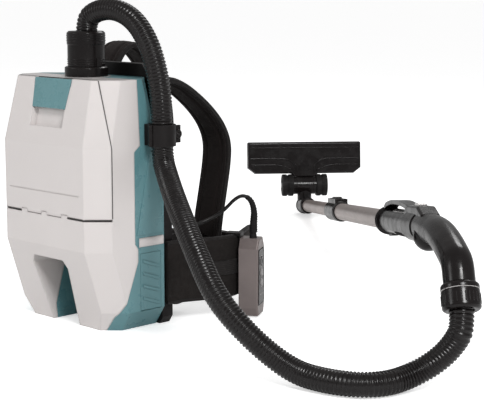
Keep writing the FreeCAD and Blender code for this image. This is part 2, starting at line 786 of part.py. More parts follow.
def make_rear(blank):
    """Rear housing with battery openings, side bands, side panels and the board's posts."""
    side = S.unit_width / 2
    band = block("side_band", (-side - 1.2, 6.6 - S.split_lower, S.knee_height + 3),
                 (side + 1.2, -S.plate_half - 4, S.knee_height + 17))
    panel = prism("side_panel", "YZ_Plane", [
        (20 - S.split_upper, S.split_step - 6), (-S.plate_half - 22, S.split_step - 6),
        (-S.plate_half - 5, S.knee_height + 22), (3 - S.split_lower, S.knee_height + 22),
    ], -side - 1.2, 2 * side + 2.4)
    core = block("side_core", (1 - side, -S.unit_front, 0), (side - 1, 0, S.unit_height))
    raised = cut("raised_sides", fuse("band_and_panel", band, panel), core)
    right = door_side("battery_cover_right", 1)
    left = door_side("battery_cover_left", -1)
    posts = []
    for index, (dx, dz) in enumerate(((0, 0), (60, 0), (0, 40), (60, 40))):
        posts.append(rod("board_post" + str(index), 3, (dx - 30, -S.plate_half - S.shell_wall - 8, 205 + dz), 9, "y"))
    body = fuse("rear_body", cut("rear_opened", blank, right[0], left[0]), raised, right[1], left[1], *posts)
    node("rear_housing", cut("rear_cut", body, right[2], left[2]))
    node("battery_cover_right", right[3])
    node("battery_cover_left", left[3])
    board_y = -S.plate_half - S.shell_wall - 8
    node("circuit_board", block("board", (-36, board_y - 1.6, 199), (36, board_y, 251)))
    floor = S.leg_shelf + S.shell_wall
    pack = prism("pack", "XZ_Plane", [
        (S.battery_inner, floor), (S.battery_outer, floor), (S.battery_outer, floor + S.battery_tall - 16),
        (S.battery_outer - 12, floor + S.battery_tall), (S.battery_inner, floor + S.battery_tall),
    ], -S.battery_front, S.battery_front - S.battery_rear)
    soften(pack, 4, lambda edge: abs(edge.Vertexes[0].Point.y - edge.Vertexes[-1].Point.y) > 5
           and edge.CenterOfMass.z > number(floor) + 5)
    node("battery_right", pack)
    node("battery_left", mirrored("pack_left", pack))


def moved(body, x, y, z):
    """Bind a body's place."""
    set_base(body, x, y, z)
    return body


def make_air_path():
    """Inlet, hose cuff, dust bag, filter, motor and fan, from the top down."""
    deck = S.unit_height
    nose = S.socket_radius - S.run_fit
    flange = turned("inlet_flange", "XZ_Plane", [
        (S.spigot_bore, -S.spigot_drop), (S.spigot_radius, -S.spigot_drop), (S.spigot_radius, 0),
        (S.flange_radius, 0), (S.flange_radius, S.flange_tall - 2), (S.flange_radius - 2, S.flange_tall),
        (S.socket_radius, S.flange_tall), (S.socket_radius, 3), (S.spigot_bore, 3),
    ], "V_Axis")
    node("inlet_flange", moved(flange, 0, S.inlet_y, deck))
    rise = S.flange_tall + S.run_fit
    shoulder = S.flange_tall + S.hose_seat
    cuff = turned("hose_cuff", "XZ_Plane", [
        (S.hose_bore + 1, 3 + S.run_fit), (nose, 3 + S.run_fit), (nose, rise), (S.cuff_radius, rise),
        (S.cuff_radius, rise + S.cuff_tall - 22), (S.cuff_ring, rise + S.cuff_tall - 21),
        (S.cuff_ring, rise + S.cuff_tall - 3), (S.cuff_ring - 3, rise + S.cuff_tall),
        (S.hose_radius + S.run_fit, rise + S.cuff_tall), (S.hose_radius + S.run_fit, shoulder),
        (S.hose_bore + 1, shoulder),
    ], "V_Axis")
    catch = block("cuff_catch", (S.cuff_radius - 2, -5, rise), (S.cuff_radius + 3.5, 5, rise + 14))
    set_base(cuff, 0, S.inlet_y, deck)
    set_base(catch, S.cuff_radius - 2, S.inlet_y - 5, deck + rise)
    node("hose_cuff", fuse("cuff_solid", cuff, catch))

    collar_low = deck - S.spigot_drop + S.run_fit
    hole = rod("collar_hole", S.spigot_radius + S.run_fit, (0, S.inlet_y, collar_low - 2), 12)
    collar = block("collar_plate", (-58, -S.bag_front + 8, collar_low), (58, -S.bag_rear - 4, collar_low + S.collar_thick))
    node("bag_collar", cut("collar_cut", collar, hole))
    bag = prism("dust_bag", "XZ_Plane", [
        (-S.bag_half + 18, S.bag_low), (S.bag_half - 18, S.bag_low), (S.bag_half, S.bag_low + 24),
        (S.bag_half - 6, collar_low - 22), (S.bag_half - 34, collar_low - S.run_fit),
        (34 - S.bag_half, collar_low - S.run_fit), (6 - S.bag_half, collar_low - 22), (-S.bag_half, S.bag_low + 24),
    ], -S.bag_front, S.bag_front - S.bag_rear)
    node("dust_bag", soften(bag, 14, lambda edge: abs(edge.Vertexes[0].Point.y - edge.Vertexes[-1].Point.y) < 1
                            and edge.CenterOfMass.z < number(collar_low) - 1))

    shelf = S.shelf_height + S.shell_wall
    half = S.filter_half
    frame = block("frame_block", (-half, -S.filter_front, shelf), (half, -S.filter_rear, shelf + S.filter_tall))
    room = block("frame_room", (3 - half, 3 - S.filter_front, shelf + 3), (half - 3, -S.filter_rear - 3, shelf + 60))
    grid = block("frame_grid", (10 - half, 8 - S.filter_front, shelf - 3), (half - 10, -S.filter_rear - 8, shelf + 9))
    node("filter_frame", cut("frame_cut", frame, room, grid))
    core = block("filter_core", (3.3 - half, 3.3 - S.filter_front, shelf + 3),
                 (half - 3.3, -S.filter_rear - 3.3, shelf + S.filter_tall - 1))
    grooves = []
    for index in range(9):
        x = (index - 4) * half * 0.2
        grooves.append(block("pleat" + str(index), (x - 1.6, -S.filter_front, shelf + 6),
                             (x + 1.6, -S.filter_rear, shelf + S.filter_tall + 3)))
    node("hepa_filter", cut("filter_cut", core, *grooves))

    roof = S.arch_height + S.shell_wall
    ring = turned("motor_mount", "XZ_Plane", [
        (26, 0), (S.arch_half - 9, 0), (S.arch_half - 9, S.mount_tall), (26, S.mount_tall),
    ], "V_Axis")
    node("motor_mount", moved(ring, 0, S.motor_y, roof))
    base = roof + S.mount_tall
    top = S.motor_tall
    shell = turned("motor_shell", "XZ_Plane", [
        (S.shaft_radius + S.slide_fit, 0), (S.motor_radius - 4, 0), (S.motor_radius, 4), (S.motor_radius, top - 3),
        (S.motor_radius - 3, top), (22, top), (22, top - 4), (S.fan_radius + 3, top - 4),
        (S.fan_radius + 3, top - 28), (S.shaft_radius + S.slide_fit, top - 28),
    ], "V_Axis")
    set_base(shell, 0, S.motor_y, base)
    vents = []
    for index in range(8):
        vent = block("vent" + str(index), (S.fan_radius, -4, top - 25), (S.motor_radius + 4, 4, top - 9))
        vent.Placement = FreeCAD.Placement(V(), FreeCAD.Rotation(V(0, 0, 1), 45 * index + 22.5))
        turn = 45 * index + 22.5
        reach = S.fan_radius
        bind(vent, "Length", S.motor_radius + 4 - S.fan_radius)
        set_base(vent, reach * math.cos(math.radians(turn)) + 4 * math.sin(math.radians(turn)),
                 S.motor_y + reach * math.sin(math.radians(turn)) - 4 * math.cos(math.radians(turn)),
                 base + top - 25)
        vents.append(vent)
    node("motor_housing", cut("motor_cut", shell, *vents))
    make_impeller(base)


def make_impeller(base):
    """Fan wheel with curved blades on the motor's shaft."""
    top = S.motor_tall
    hub = turned("fan_hub", "XZ_Plane", [
        (0, 6), (S.shaft_radius, 6), (S.shaft_radius, top - 26), (S.fan_radius, top - 26), (S.fan_radius, top - 24),
        (12, top - 23), (8, top - 10), (0, top - 8),
    ], "V_Axis")
    blades = doc.addObject("PartDesign::Body", "fan_blades")
    points = [(9, 0), (26, 6), (S.fan_radius - 1, 20), (S.fan_radius - 2, 22), (25, 8.4), (9, 2)]
    drawn = outline(blades, "blade_outline", "XY_Plane", points, top - 24.5)
    pad = blades.newObject("PartDesign::Pad", "blade_pad")
    pad.Profile = drawn
    pad.Length = 14
    pattern = blades.newObject("PartDesign::PolarPattern", "blade_pattern")
    pattern.Originals = [pad]
    pattern.Axis = (drawn, ["N_Axis"])
    pattern.Angle = 360
    pattern.Occurrences = 9
    blades.Tip = pattern
    doc.recompute()
    rim = rod("fan_rim", S.fan_radius, (0, 0, top - 26), 16)
    wheel = common("fan_wheel", fuse("fan_solid", hub, blades), fuse("fan_room", rim, rod(
        "shaft_room", S.shaft_radius + 1, (0, 0, 0), top)))
    node("impeller", moved(wheel, 0, S.motor_y, base))


def make_clip():
    """Hose clip on the side: a fixed half and a hinged half round the hose."""
    bore = S.hose_radius + S.run_fit
    outer = bore + S.clip_wall
    low, tall = S.clip_low, S.clip_tall
    side = S.unit_width / 2
    centre = (S.clip_x, S.clip_y)
    room = rod("clip_room", bore, (*centre, low - 2), tall + 4)
    hinge_y = S.clip_y - outer - 1
    hinge = (S.clip_x + 0, hinge_y)
    foot = block("clip_foot", (side, S.clip_y - 15, low), (S.clip_x - S.clip_wall, S.clip_y + 15, low + tall))
    body_ring = rod("clip_ring_a", outer, (*centre, low), tall)
    half_a = block("clip_half_a", (side, S.clip_y - 40, low - 1), (S.clip_x - 0.3, S.clip_y + 40, low + tall + 1))
    knuckle_low = rod("clip_knuckle_a", 3, (*hinge, low), tall * 0.3)
    knuckle_high = rod("clip_knuckle_b", 3, (*hinge, low + tall * 0.7), tall * 0.3)
    pin = rod("clip_pin", 1.2, (*hinge, low), tall)
    base_ring = common("clip_base_ring", body_ring, half_a)
    leaf_room = rod("clip_leaf_room", 3.3, (*hinge, low + tall * 0.3), tall * 0.4)
    node("hose_clip_base", fuse("clip_base", cut("clip_base_cut", fuse("clip_base_solid", foot, base_ring,
                                                 knuckle_low, knuckle_high), room, leaf_room), pin))
    gate_ring = rod("clip_ring_b", outer, (*centre, low), tall)
    half_b = block("clip_half_b", (S.clip_x + 0.3, S.clip_y - 40, low - 1), (S.clip_x + 60, S.clip_y + 40, low + tall + 1))
    room_b = rod("clip_room_b", bore, (*centre, low - 2), tall + 4)
    gate = common("clip_gate_ring", gate_ring, half_b)
    tab = block("clip_tab", (S.clip_x + 1, S.clip_y + outer - 3, low + 3), (S.clip_x + 5, S.clip_y + outer + 13, low + tall - 3))
    eye = rod("clip_eye", 5, (S.clip_x - 5, S.clip_y + outer + 6, low + tall / 2), 20, "x")
    knuckle = rod("clip_knuckle_c", 3, (*hinge, low + tall * 0.3 + 0.3), tall * 0.4 - 0.6)
    rooms = [rod("clip_gap" + str(i), 3.3, (*hinge, low + start - 1), span + 1 + S.run_fit)
             for i, (start, span) in enumerate(((tall * 0, tall * 0.3), (tall * 0.7 - S.run_fit, tall * 0.3 + 1)))]
    bore_b = rod("clip_pin_bore", 1.2 + S.slide_fit, (*hinge, low - 1), tall + 2)
    solid = fuse("clip_gate_solid", cut("clip_gate_open", fuse("clip_gate_parts", gate, tab), room_b, eye, *rooms), knuckle)
    node("hose_clip_gate", cut("clip_gate_cut", solid, bore_b))


def make_plate():
    """Back plate that the body stands against, its lightening holes and the pad behind it."""
    half, top = S.plate_half_width, S.plate_top_half
    plate = prism("back_plate", "XZ_Plane", [
        (8 - half, 0), (half - 8, 0), (half, 12), (half, S.plate_shoulder), (top, S.plate_height - 20),
        (top - 18, S.plate_height), (18 - top, S.plate_height), (-top, S.plate_height - 20),
        (-half, S.plate_shoulder), (-half, 12),
    ], -S.plate_half, 2 * S.plate_half)
    soften(plate, 3, lambda edge: abs(edge.CenterOfMass.y - number(S.plate_half)) < 0.01 and edge.CenterOfMass.z > 1)
    outlet = turned("cable_outlet", "YZ_Plane", [
        (S.plate_half - 4, S.cable_radius), (S.plate_half - 4, 6.5), (S.plate_half, 6.5), (S.plate_half + 10, 5),
        (S.plate_half + 10, S.cable_radius),
    ], "H_Axis")
    set_base(outlet, S.cable_out_x, 0, S.cable_out_z)
    bore = rod("cable_bore", S.cable_radius, (S.cable_out_x, S.plate_half, S.cable_out_z), 14, "y")
    node("back_plate", cut("plate_cut", fuse("plate_solid", plate, outlet), bore))
    gap = S.plate_half + 0
    pad = prism("pad_solid", "XZ_Plane", [
        (28 - half, 60), (half - 28, 60), (half - 18, 75), (half - 18, S.plate_shoulder - 10),
        (top - 12, S.plate_height - 62), (top - 24, S.plate_height - 46), (24 - top, S.plate_height - 46),
        (12 - top, S.plate_height - 62), (18 - half, S.plate_shoulder - 10), (18 - half, 75),
    ], gap, S.pad_thick)
    soften(pad, 7, lambda edge: abs(edge.CenterOfMass.y - number(gap + S.pad_thick)) < 0.01)
    channels = [block("pad_channel" + str(i), (x - 6, gap + S.pad_thick - 6, 50), (x + 6, gap + S.pad_thick + 5, S.plate_height))
                for i, x in enumerate((-28, 28))]
    channels.append(block("pad_channel_across", (-half, gap + S.pad_thick - 6, 214), (half, gap + S.pad_thick + 5, 226)))
    node("back_pad", cut("pad_cut", pad, *channels))


def yz(points, x=0.0):
    """Points of a side view at one X."""
    return [V(x, a, b) for a, b in points]


def make_harness():
    """Shoulder straps, lower webbing, hip belt, buckle."""
    across = V(1, 0, 0)
    x = number(S.strap_x)
    back = number(S.plate_half)
    wide, thick = number(S.strap_wide), number(S.strap_thick)
    right = yz([(back, 398), (34, 398), (62, 388), (96, 366), (128, 340), (152, 312), (164, 282),
                (162, 250), (156, 218), (149, 184), (142, 152), (138, 122)], x)
    left = yz([(back, 402), (28, 402), (43, 419), (57, 440), (80, 452), (106, 440), (130, 416), (148, 384),
               (160, 350), (165, 314), (165, 278), (160, 242), (154, 206), (147, 170), (141, 136), (138, 118)], -x)
    node("shoulder_strap_right", made_shape("strap_r", band_along(
        "shoulder_strap_right", right, across, wide, thick, cushion_profile)))
    node("shoulder_strap_left", made_shape("strap_l", band_along(
        "shoulder_strap_left", left, across, wide, thick, cushion_profile)))
    web_w, web_t = number(S.web_wide), number(S.web_thick)
    for name, sign, end in (("right", 1, right), ("left", -1, left)):
        way = (end[-1] - end[-2]).normalize()
        last = end[-1]
        bar = last + way * 9
        box = Part.makeBox(web_w + 12, 12, 16, V(-(web_w + 12) / 2, -6, -8))
        slot = Part.makeBox(web_w + 1, 14, 4.4, V(-(web_w + 1) / 2, -7, -2.2))
        clasp = box.cut(slot)
        turn = FreeCAD.Rotation(V(0, 0, -1), way)
        clasp.Placement = FreeCAD.Placement(bar - way * 0.7, turn)
        node("strap_adjuster_" + name, made_shape("adjuster_" + name, clasp))
        start = bar + way * 7.3
        web = [start, start + way * 22] + yz([(118, 62), (98, 34), (72, 17), (46, 17), (28, 33), (back, 33)], sign * x)
        node("strap_webbing_" + name, made_shape("web_" + name, band_along("strap_webbing_" + name, web, across, web_w, web_t)))
    make_belt()


def make_belt():
    """Hip belt wings from the plate's edges, with webbing and a side-release buckle behind."""
    up = V(0, 0, 1)
    mid = number(S.belt_low + S.belt_tall / 2)
    start = number(S.plate_half_width)
    tall, thick = number(S.belt_tall), number(S.belt_thick)
    seat = start + thick / 2 + 0.2
    plan = [(seat, -9), (seat + 1, 16), (start + 19, 44), (start + 31, 74), (start + 37, 102), (start + 32, 128),
            (start + 19, 152), (start + 2, 178), (start - 12, 202)]
    web_w, web_t = number(S.web_wide), number(S.web_thick)
    for name, sign in (("right", 1), ("left", -1)):
        points = [V(sign * a, b, mid) for a, b in plan]
        node("hip_belt_" + name, made_shape("belt_" + name, band_along(
            "hip_belt_" + name, points, up, tall, thick, cushion_profile)))
        way = (points[-1] - points[-2]).normalize()
        web = [points[-1], points[-1] + way * 16,
               V(sign * (start - 34), 244, mid), V(sign * (start - 60), 264, mid), V(sign * 36, 264, mid)]
        node("belt_webbing_" + name, made_shape("belt_web_" + name, band_along("belt_webbing_" + name, web, up, web_w, web_t)))
    make_buckle(mid)


def make_buckle(mid):
    """Side-release buckle: a socket on the left and a pronged plug on the right."""
    y = 264
    socket = block("buckle_socket", (-36, y - 6, mid - 18), (6, y + 6, mid + 18))
    throat = block("buckle_throat", (-24, y - 3.4, mid - 13), (8, y + 3.4, mid + 13))
    side_a = block("buckle_window_a", (-14, y - 3.4, mid + 10), (-4, y + 3.4, mid + 20))
    side_b = block("buckle_window_b", (-14, y - 3.4, mid - 20), (-4, y + 3.4, mid - 10))
    node("buckle_socket", cut("buckle_socket_cut", socket, throat, side_a, side_b))
    head = block("buckle_head", (6.4, y - 6, mid - 18), (36, y + 6, mid + 18))
    slot = block("buckle_slot", (26, y - 7, mid - 13.5), (30, y + 7, mid + 13.5))
    prong_a = block("buckle_prong_a", (-16, y - 3, mid + 6), (8, y + 3, mid + 12.4))
    prong_b = block("buckle_prong_b", (-16, y - 3, mid - 12.4), (8, y + 3, mid - 6))
    node("buckle_plug", fuse("buckle_plug_solid", cut("buckle_head_cut", head, slot), prong_a, prong_b))


def put(made, frame):
    """Carry a finished piece into a frame of its own."""
    made.Placement = frame
    return made


def make_control():
    """Control box on the hip belt: case, panel, three buttons, belt hook and cable."""
    deep, wide, tall = S.box_deep, S.box_wide, S.box_tall
    frame = FreeCAD.Placement(V(number(S.box_x), number(S.box_y), number(S.box_low)),
                              FreeCAD.Rotation(V(0, 0, 1), number(S.box_turn)))
    front = deep / 2
    case = prism("case", "YZ_Plane", [
        (6 - wide / 2, 0), (wide / 2 - 6, 0), (wide / 2, 14), (wide / 2, tall - 16), (wide / 2 - 10, tall),
        (10 - wide / 2, tall), (-wide / 2, tall - 16), (-wide / 2, 14),
    ], -front, deep)
    soften(case, 3, lambda edge: abs(edge.CenterOfMass.x - number(front)) < 0.01)
    recess = block("panel_recess", (front - 2, 5 - wide / 2, 18), (front + 3, wide / 2 - 5, tall - 18))
    panel = block("panel", (front - 2, 5.3 - wide / 2, 18.3), (front + 0.6, wide / 2 - 5.3, tall - 18.3))
    holes = []
    for index, (rise, radius) in enumerate(BUTTONS):
        holes.append(rod("button_hole" + str(index), radius + 0.3, (front - 6, 0, tall * rise), 12, "x"))
    node("control_box", put(cut("case_cut", case, recess, *holes), frame))
    panel_holes = [rod("panel_hole" + str(i), radius + 0.3, (front - 6, 0, tall * rise), 12, "x")
                   for i, (rise, radius) in enumerate(BUTTONS)]
    node("control_panel", put(cut("panel_cut", panel, *panel_holes), frame))
    for index, (rise, radius) in enumerate(BUTTONS):
        button = rod("button" + str(index), radius, (front - 4.5, 0, tall * rise), 6.6, "x")
        dish = ball("button_dish" + str(index), 14, (front + 15.4, 0, tall * rise))
        node(BUTTON_NAMES[index], put(cut("button_cut" + str(index), button, dish), frame))
    hook = block("hook_plate", (-front - 2.3, -10, 26), (-front, 10, tall - 8))
    reach, top = -front - S.belt_thick - 11.5, S.belt_low + S.belt_tall - S.box_low + 0.4
    bridge = block("hook_bridge", (reach, -10, tall - 31), (-front, 10, top + 2.5))
    room = block("hook_room", (reach + 2.5, -15, tall - 32), (-front - 2.3, 15, top))
    box_room = block("hook_box_room", (-front, -15, 0), (2 - front, 15, tall + 40))
    node("belt_hook", put(cut("hook_cut", fuse("hook_solid", hook, bridge), room, box_room), frame))
    make_cable(frame)


BUTTONS = ((0.70, 8.0), (0.55, 6.0), (0.42, 6.0))
BUTTON_NAMES = ("button_power", "button_boost", "button_eco")


def make_cable(frame):
    """Control cable: out of the box's top, over the belt and into the back plate."""
    top = number(S.box_low + S.box_tall)
    gland_at = V(number(S.box_x) + 3, number(S.box_y) + 1, top)
    gland = Part.makeCone(6.5, number(S.cable_radius) + 1.6, 11, gland_at).cut(
        Part.makeCylinder(number(S.cable_radius) + 0.0, 13, gland_at - V(0, 0, 1)))
    node("cable_gland", made_shape("gland", gland))
    plate_y = number(S.plate_half)
    out_x, out_z = number(S.cable_out_x), number(S.cable_out_z)
    entry = V(out_x, plate_y, out_z)
    points = [
        gland_at, gland_at + V(0, 0, 20), gland_at + V(1, 2, 44), gland_at + V(-3, -2, 64), gland_at + V(-14, -10, 72),
        gland_at + V(-26, -19, 64), gland_at + V(-37, -28, 48), gland_at + V(-48, -39, 36), gland_at + V(-60, -56, 27),
        V(out_x + 6, 66, out_z + 5), V(out_x, 46, out_z + 1), V(out_x, 30, out_z), entry,
    ]
    cable = tube_along("control_cable", points, number(S.cable_radius))
    node("control_cable", made_shape("cable", cable))


def wand_frame():
    """The wand's frame: its X runs up the tubes to the handle."""
    return FreeCAD.Placement(V(number(S.wand_x), number(S.wand_y), number(S.elbow_radius)),
                             FreeCAD.Rotation(number(S.wand_turn), -number(S.wand_rise), 0))


def make_wand():
    """Inner and outer tubes, lock with its button, elbow and floor head."""
    frame = wand_frame()
    thin = turned("thin", "XZ_Plane", [
        (S.thin_start, S.thin_bore), (S.thin_start + S.thin_length, S.thin_bore),
        (S.thin_start + S.thin_length, S.thin_radius), (S.thin_start, S.thin_radius),
    ], "H_Axis")
    node("inner_tube", put(thin, frame))
    thick_end = S.thick_start + S.thick_length
    thick = turned("thick", "XZ_Plane", [
        (S.thick_start, S.thick_bore), (thick_end, S.thick_bore), (thick_end, S.thick_radius),
        (S.thick_start, S.thick_radius),
    ], "H_Axis")
    node("outer_tube", put(thick, frame))
    stop = S.lock_start + S.lock_length
    sleeve = turned("sleeve", "XZ_Plane", [
        (S.lock_start, S.thin_radius + S.slide_fit), (S.thick_start, S.thin_radius + S.slide_fit),
        (S.thick_start, S.thick_radius), (stop, S.thick_radius), (stop, S.lock_radius - 2),
        (stop - 8, S.lock_radius), (S.lock_start + 10, S.lock_radius), (S.lock_start, S.lock_radius - 3),
    ], "H_Axis")
    saddle = block("lock_saddle", (S.lock_start + 16, -13, 0), (stop - 12, 13, S.lock_radius + 5))
    bore = rod("lock_bore", S.thick_radius, (S.lock_start - 5, 0, 0), S.lock_length + 10, "x")
    well = block("lock_well", (S.lock_start + 40, -8.4, S.thick_radius + 0.5),
                 (S.lock_start + 80, 8.4, S.lock_radius + 8))
    saddle_cut = cut("lock_saddle_cut", saddle, bore)
    node("tube_lock", put(cut("lock_cut", fuse("lock_solid", sleeve, saddle_cut), well), frame))
    key = prism("lock_button", "XZ_Plane", [
        (S.lock_start + 43, S.thick_radius + 0.8), (S.lock_start + 72, S.thick_radius + 0.8),
        (S.lock_start + 72, S.lock_radius + 6), (S.lock_start + 66, S.lock_radius + 8.5),
        (S.lock_start + 49, S.lock_radius + 8.5), (S.lock_start + 43, S.lock_radius + 6),
    ], -8, 16)
    node("lock_button", put(key, frame))
    make_elbow(frame)
    make_head(frame)


def make_elbow(frame):
    """Elbow that turns on the tube's end and carries the head's barrel."""
    socket = turned("elbow_socket", "XZ_Plane", [
        (0, 0), (S.thin_start - 2, 0), (S.thin_start - 2, S.thin_bore - 1), (S.thin_start, S.thin_bore - 1),
        (S.thin_start, S.thin_radius + S.slide_fit), (70, S.thin_radius + S.slide_fit), (70, 18), (62, 19.5), (8, 19.5), (0, 12),
    ], "H_Axis")
    knee = ball("elbow_knee", S.elbow_radius, (0, 0, 0))
    riser = rod("elbow_riser", 17, (0, 0, 0), S.barrel_rise)
    barrel = rod("elbow_barrel", S.barrel_radius, (0, -S.barrel_half, S.barrel_rise), 2 * S.barrel_half, "y")
    duct = rod("elbow_duct", 13, (0, 0, 8), S.barrel_rise - 30)
    axle = rod("elbow_axle_bore", S.axle_radius + S.slide_fit, (0, -S.barrel_half - 2, S.barrel_rise),
               2 * S.barrel_half + 4, "y")
    tube_room = rod("elbow_tube_room", S.thin_radius + S.slide_fit, (S.thin_start, 0, 0), 80, "x")
    node("elbow", put(cut("elbow_cut", fuse("elbow_solid", socket, knee, riser, barrel), axle, tube_room, duct), frame))


def make_head(frame):
    """Floor head hinged on the elbow's barrel, with wheels, sole plate and brush strips."""
    axis = S.barrel_rise
    low = axis + S.head_low
    high = low + S.head_tall
    half = S.head_half
    face, back = 12.0, S.head_thick - 12
    body = prism("head_shell", "YZ_Plane", [
        (18 - half, low), (-32, low), (-26.3, low - 8), (26.3, low - 8), (32, low), (half - 18, low), (half, low + 14),
        (half, high - 3), (half - 3, high), (3 - half, high), (-half, high - 3), (-half, low + 14),
    ], -back, S.head_thick)
    soften(body, 5, lambda edge: abs(edge.CenterOfMass.x - face) < 0.01)
    hollow = block("head_duct", (-back - 1, 14 - half, low + 44), (-back + 14, half - 14, high - 12))
    arms, rooms = [], []
    for index, side in enumerate((-1, 1)):
        inner = S.barrel_half + S.run_fit
        outer = S.barrel_half + 8
        start = inner if side > 0 else -outer
        arms.append(rod("head_ear" + str(index), S.barrel_radius, (0, start, axis), outer - inner, "y"))
        arms.append(block("head_arm" + str(index), (-14, start, axis), (10, start + (outer - inner), low + 6)))
    ribs = [block("head_rib" + str(i), (face - 1, y - 2, low + 8), (face + 1.2, y + 2, low + 22))
            for i, y in enumerate((-24, -12, 0, 12, 24))]
    bore = rod("head_axle_bore", S.axle_radius, (0, -half, axis), 2 * half, "y")
    barrel_room = rod("head_barrel_room", S.barrel_radius + S.run_fit, (0, -S.barrel_half - S.run_fit, axis),
                      2 * (S.barrel_half + S.run_fit), "y")
    solid = fuse("head_solid", body, *arms, *ribs)
    wheel_in = S.barrel_half + 8 + S.run_fit
    for index, side in enumerate((-1, 1)):
        start = wheel_in - 0.3 if side > 0 else -wheel_in - S.wheel_wide - 8
        rooms.append(rod("wheel_room" + str(index), S.wheel_radius + 0.8, (0, start, axis), S.wheel_wide + 8.3, "y"))
    node("head_body", put(cut("head_cut", solid, hollow, bore, barrel_room, *rooms), frame))
    axle_half = wheel_in + S.wheel_wide + 1.5
    axle = rod("axle_rod", S.axle_radius, (0, -axle_half, axis), 2 * axle_half, "y")
    caps = [rod("axle_cap" + str(i), 7, (0, start, axis), 1.2, "y")
            for i, start in enumerate((-axle_half, axle_half - 1.2))]
    node("head_axle", put(fuse("axle_solid", axle, *caps), frame))
    for index, (name, side) in enumerate((("wheel_left", -1), ("wheel_right", 1))):
        start = wheel_in if side > 0 else -wheel_in - S.wheel_wide
        tyre = rod("tyre" + str(index), S.wheel_radius, (0, start, axis), S.wheel_wide, "y")
        groove = cut("tyre_groove" + str(index), rod("groove_out" + str(index), S.wheel_radius + 2,
                     (0, start + S.wheel_wide / 2 - 2, axis), 4, "y"),
                     rod("groove_in" + str(index), S.wheel_radius - 2, (0, start, axis), S.wheel_wide, "y"))
        hole = rod("wheel_bore" + str(index), S.axle_radius + S.slide_fit, (0, start - 1, axis), S.wheel_wide + 2, "y")
        node(name, put(cut("wheel_cut" + str(index), tyre, groove, hole), frame))
    plate = block("sole", (-back - S.sole_thick, 4 - half, low + 16), (-back, half - 4, high - 1))
    mouth = block("sole_mouth", (-back - S.sole_thick - 1, 14 - half, low + 44), (1 - back, half - 14, high - 12))
    node("sole_plate", put(cut("sole_cut", plate, mouth), frame))
    for name, rise in (("brush_strip_rear", low + 30), ("brush_strip_front", high - 10)):
        strip = prism(name, "YZ_Plane", [(8 - half, rise), (half - 8, rise), (half - 8, rise + 5), (8 - half, rise + 5)],
                      -back - S.sole_thick - 6, S.sole_thick * 0 + 6)
        node(name, put(strip, frame))


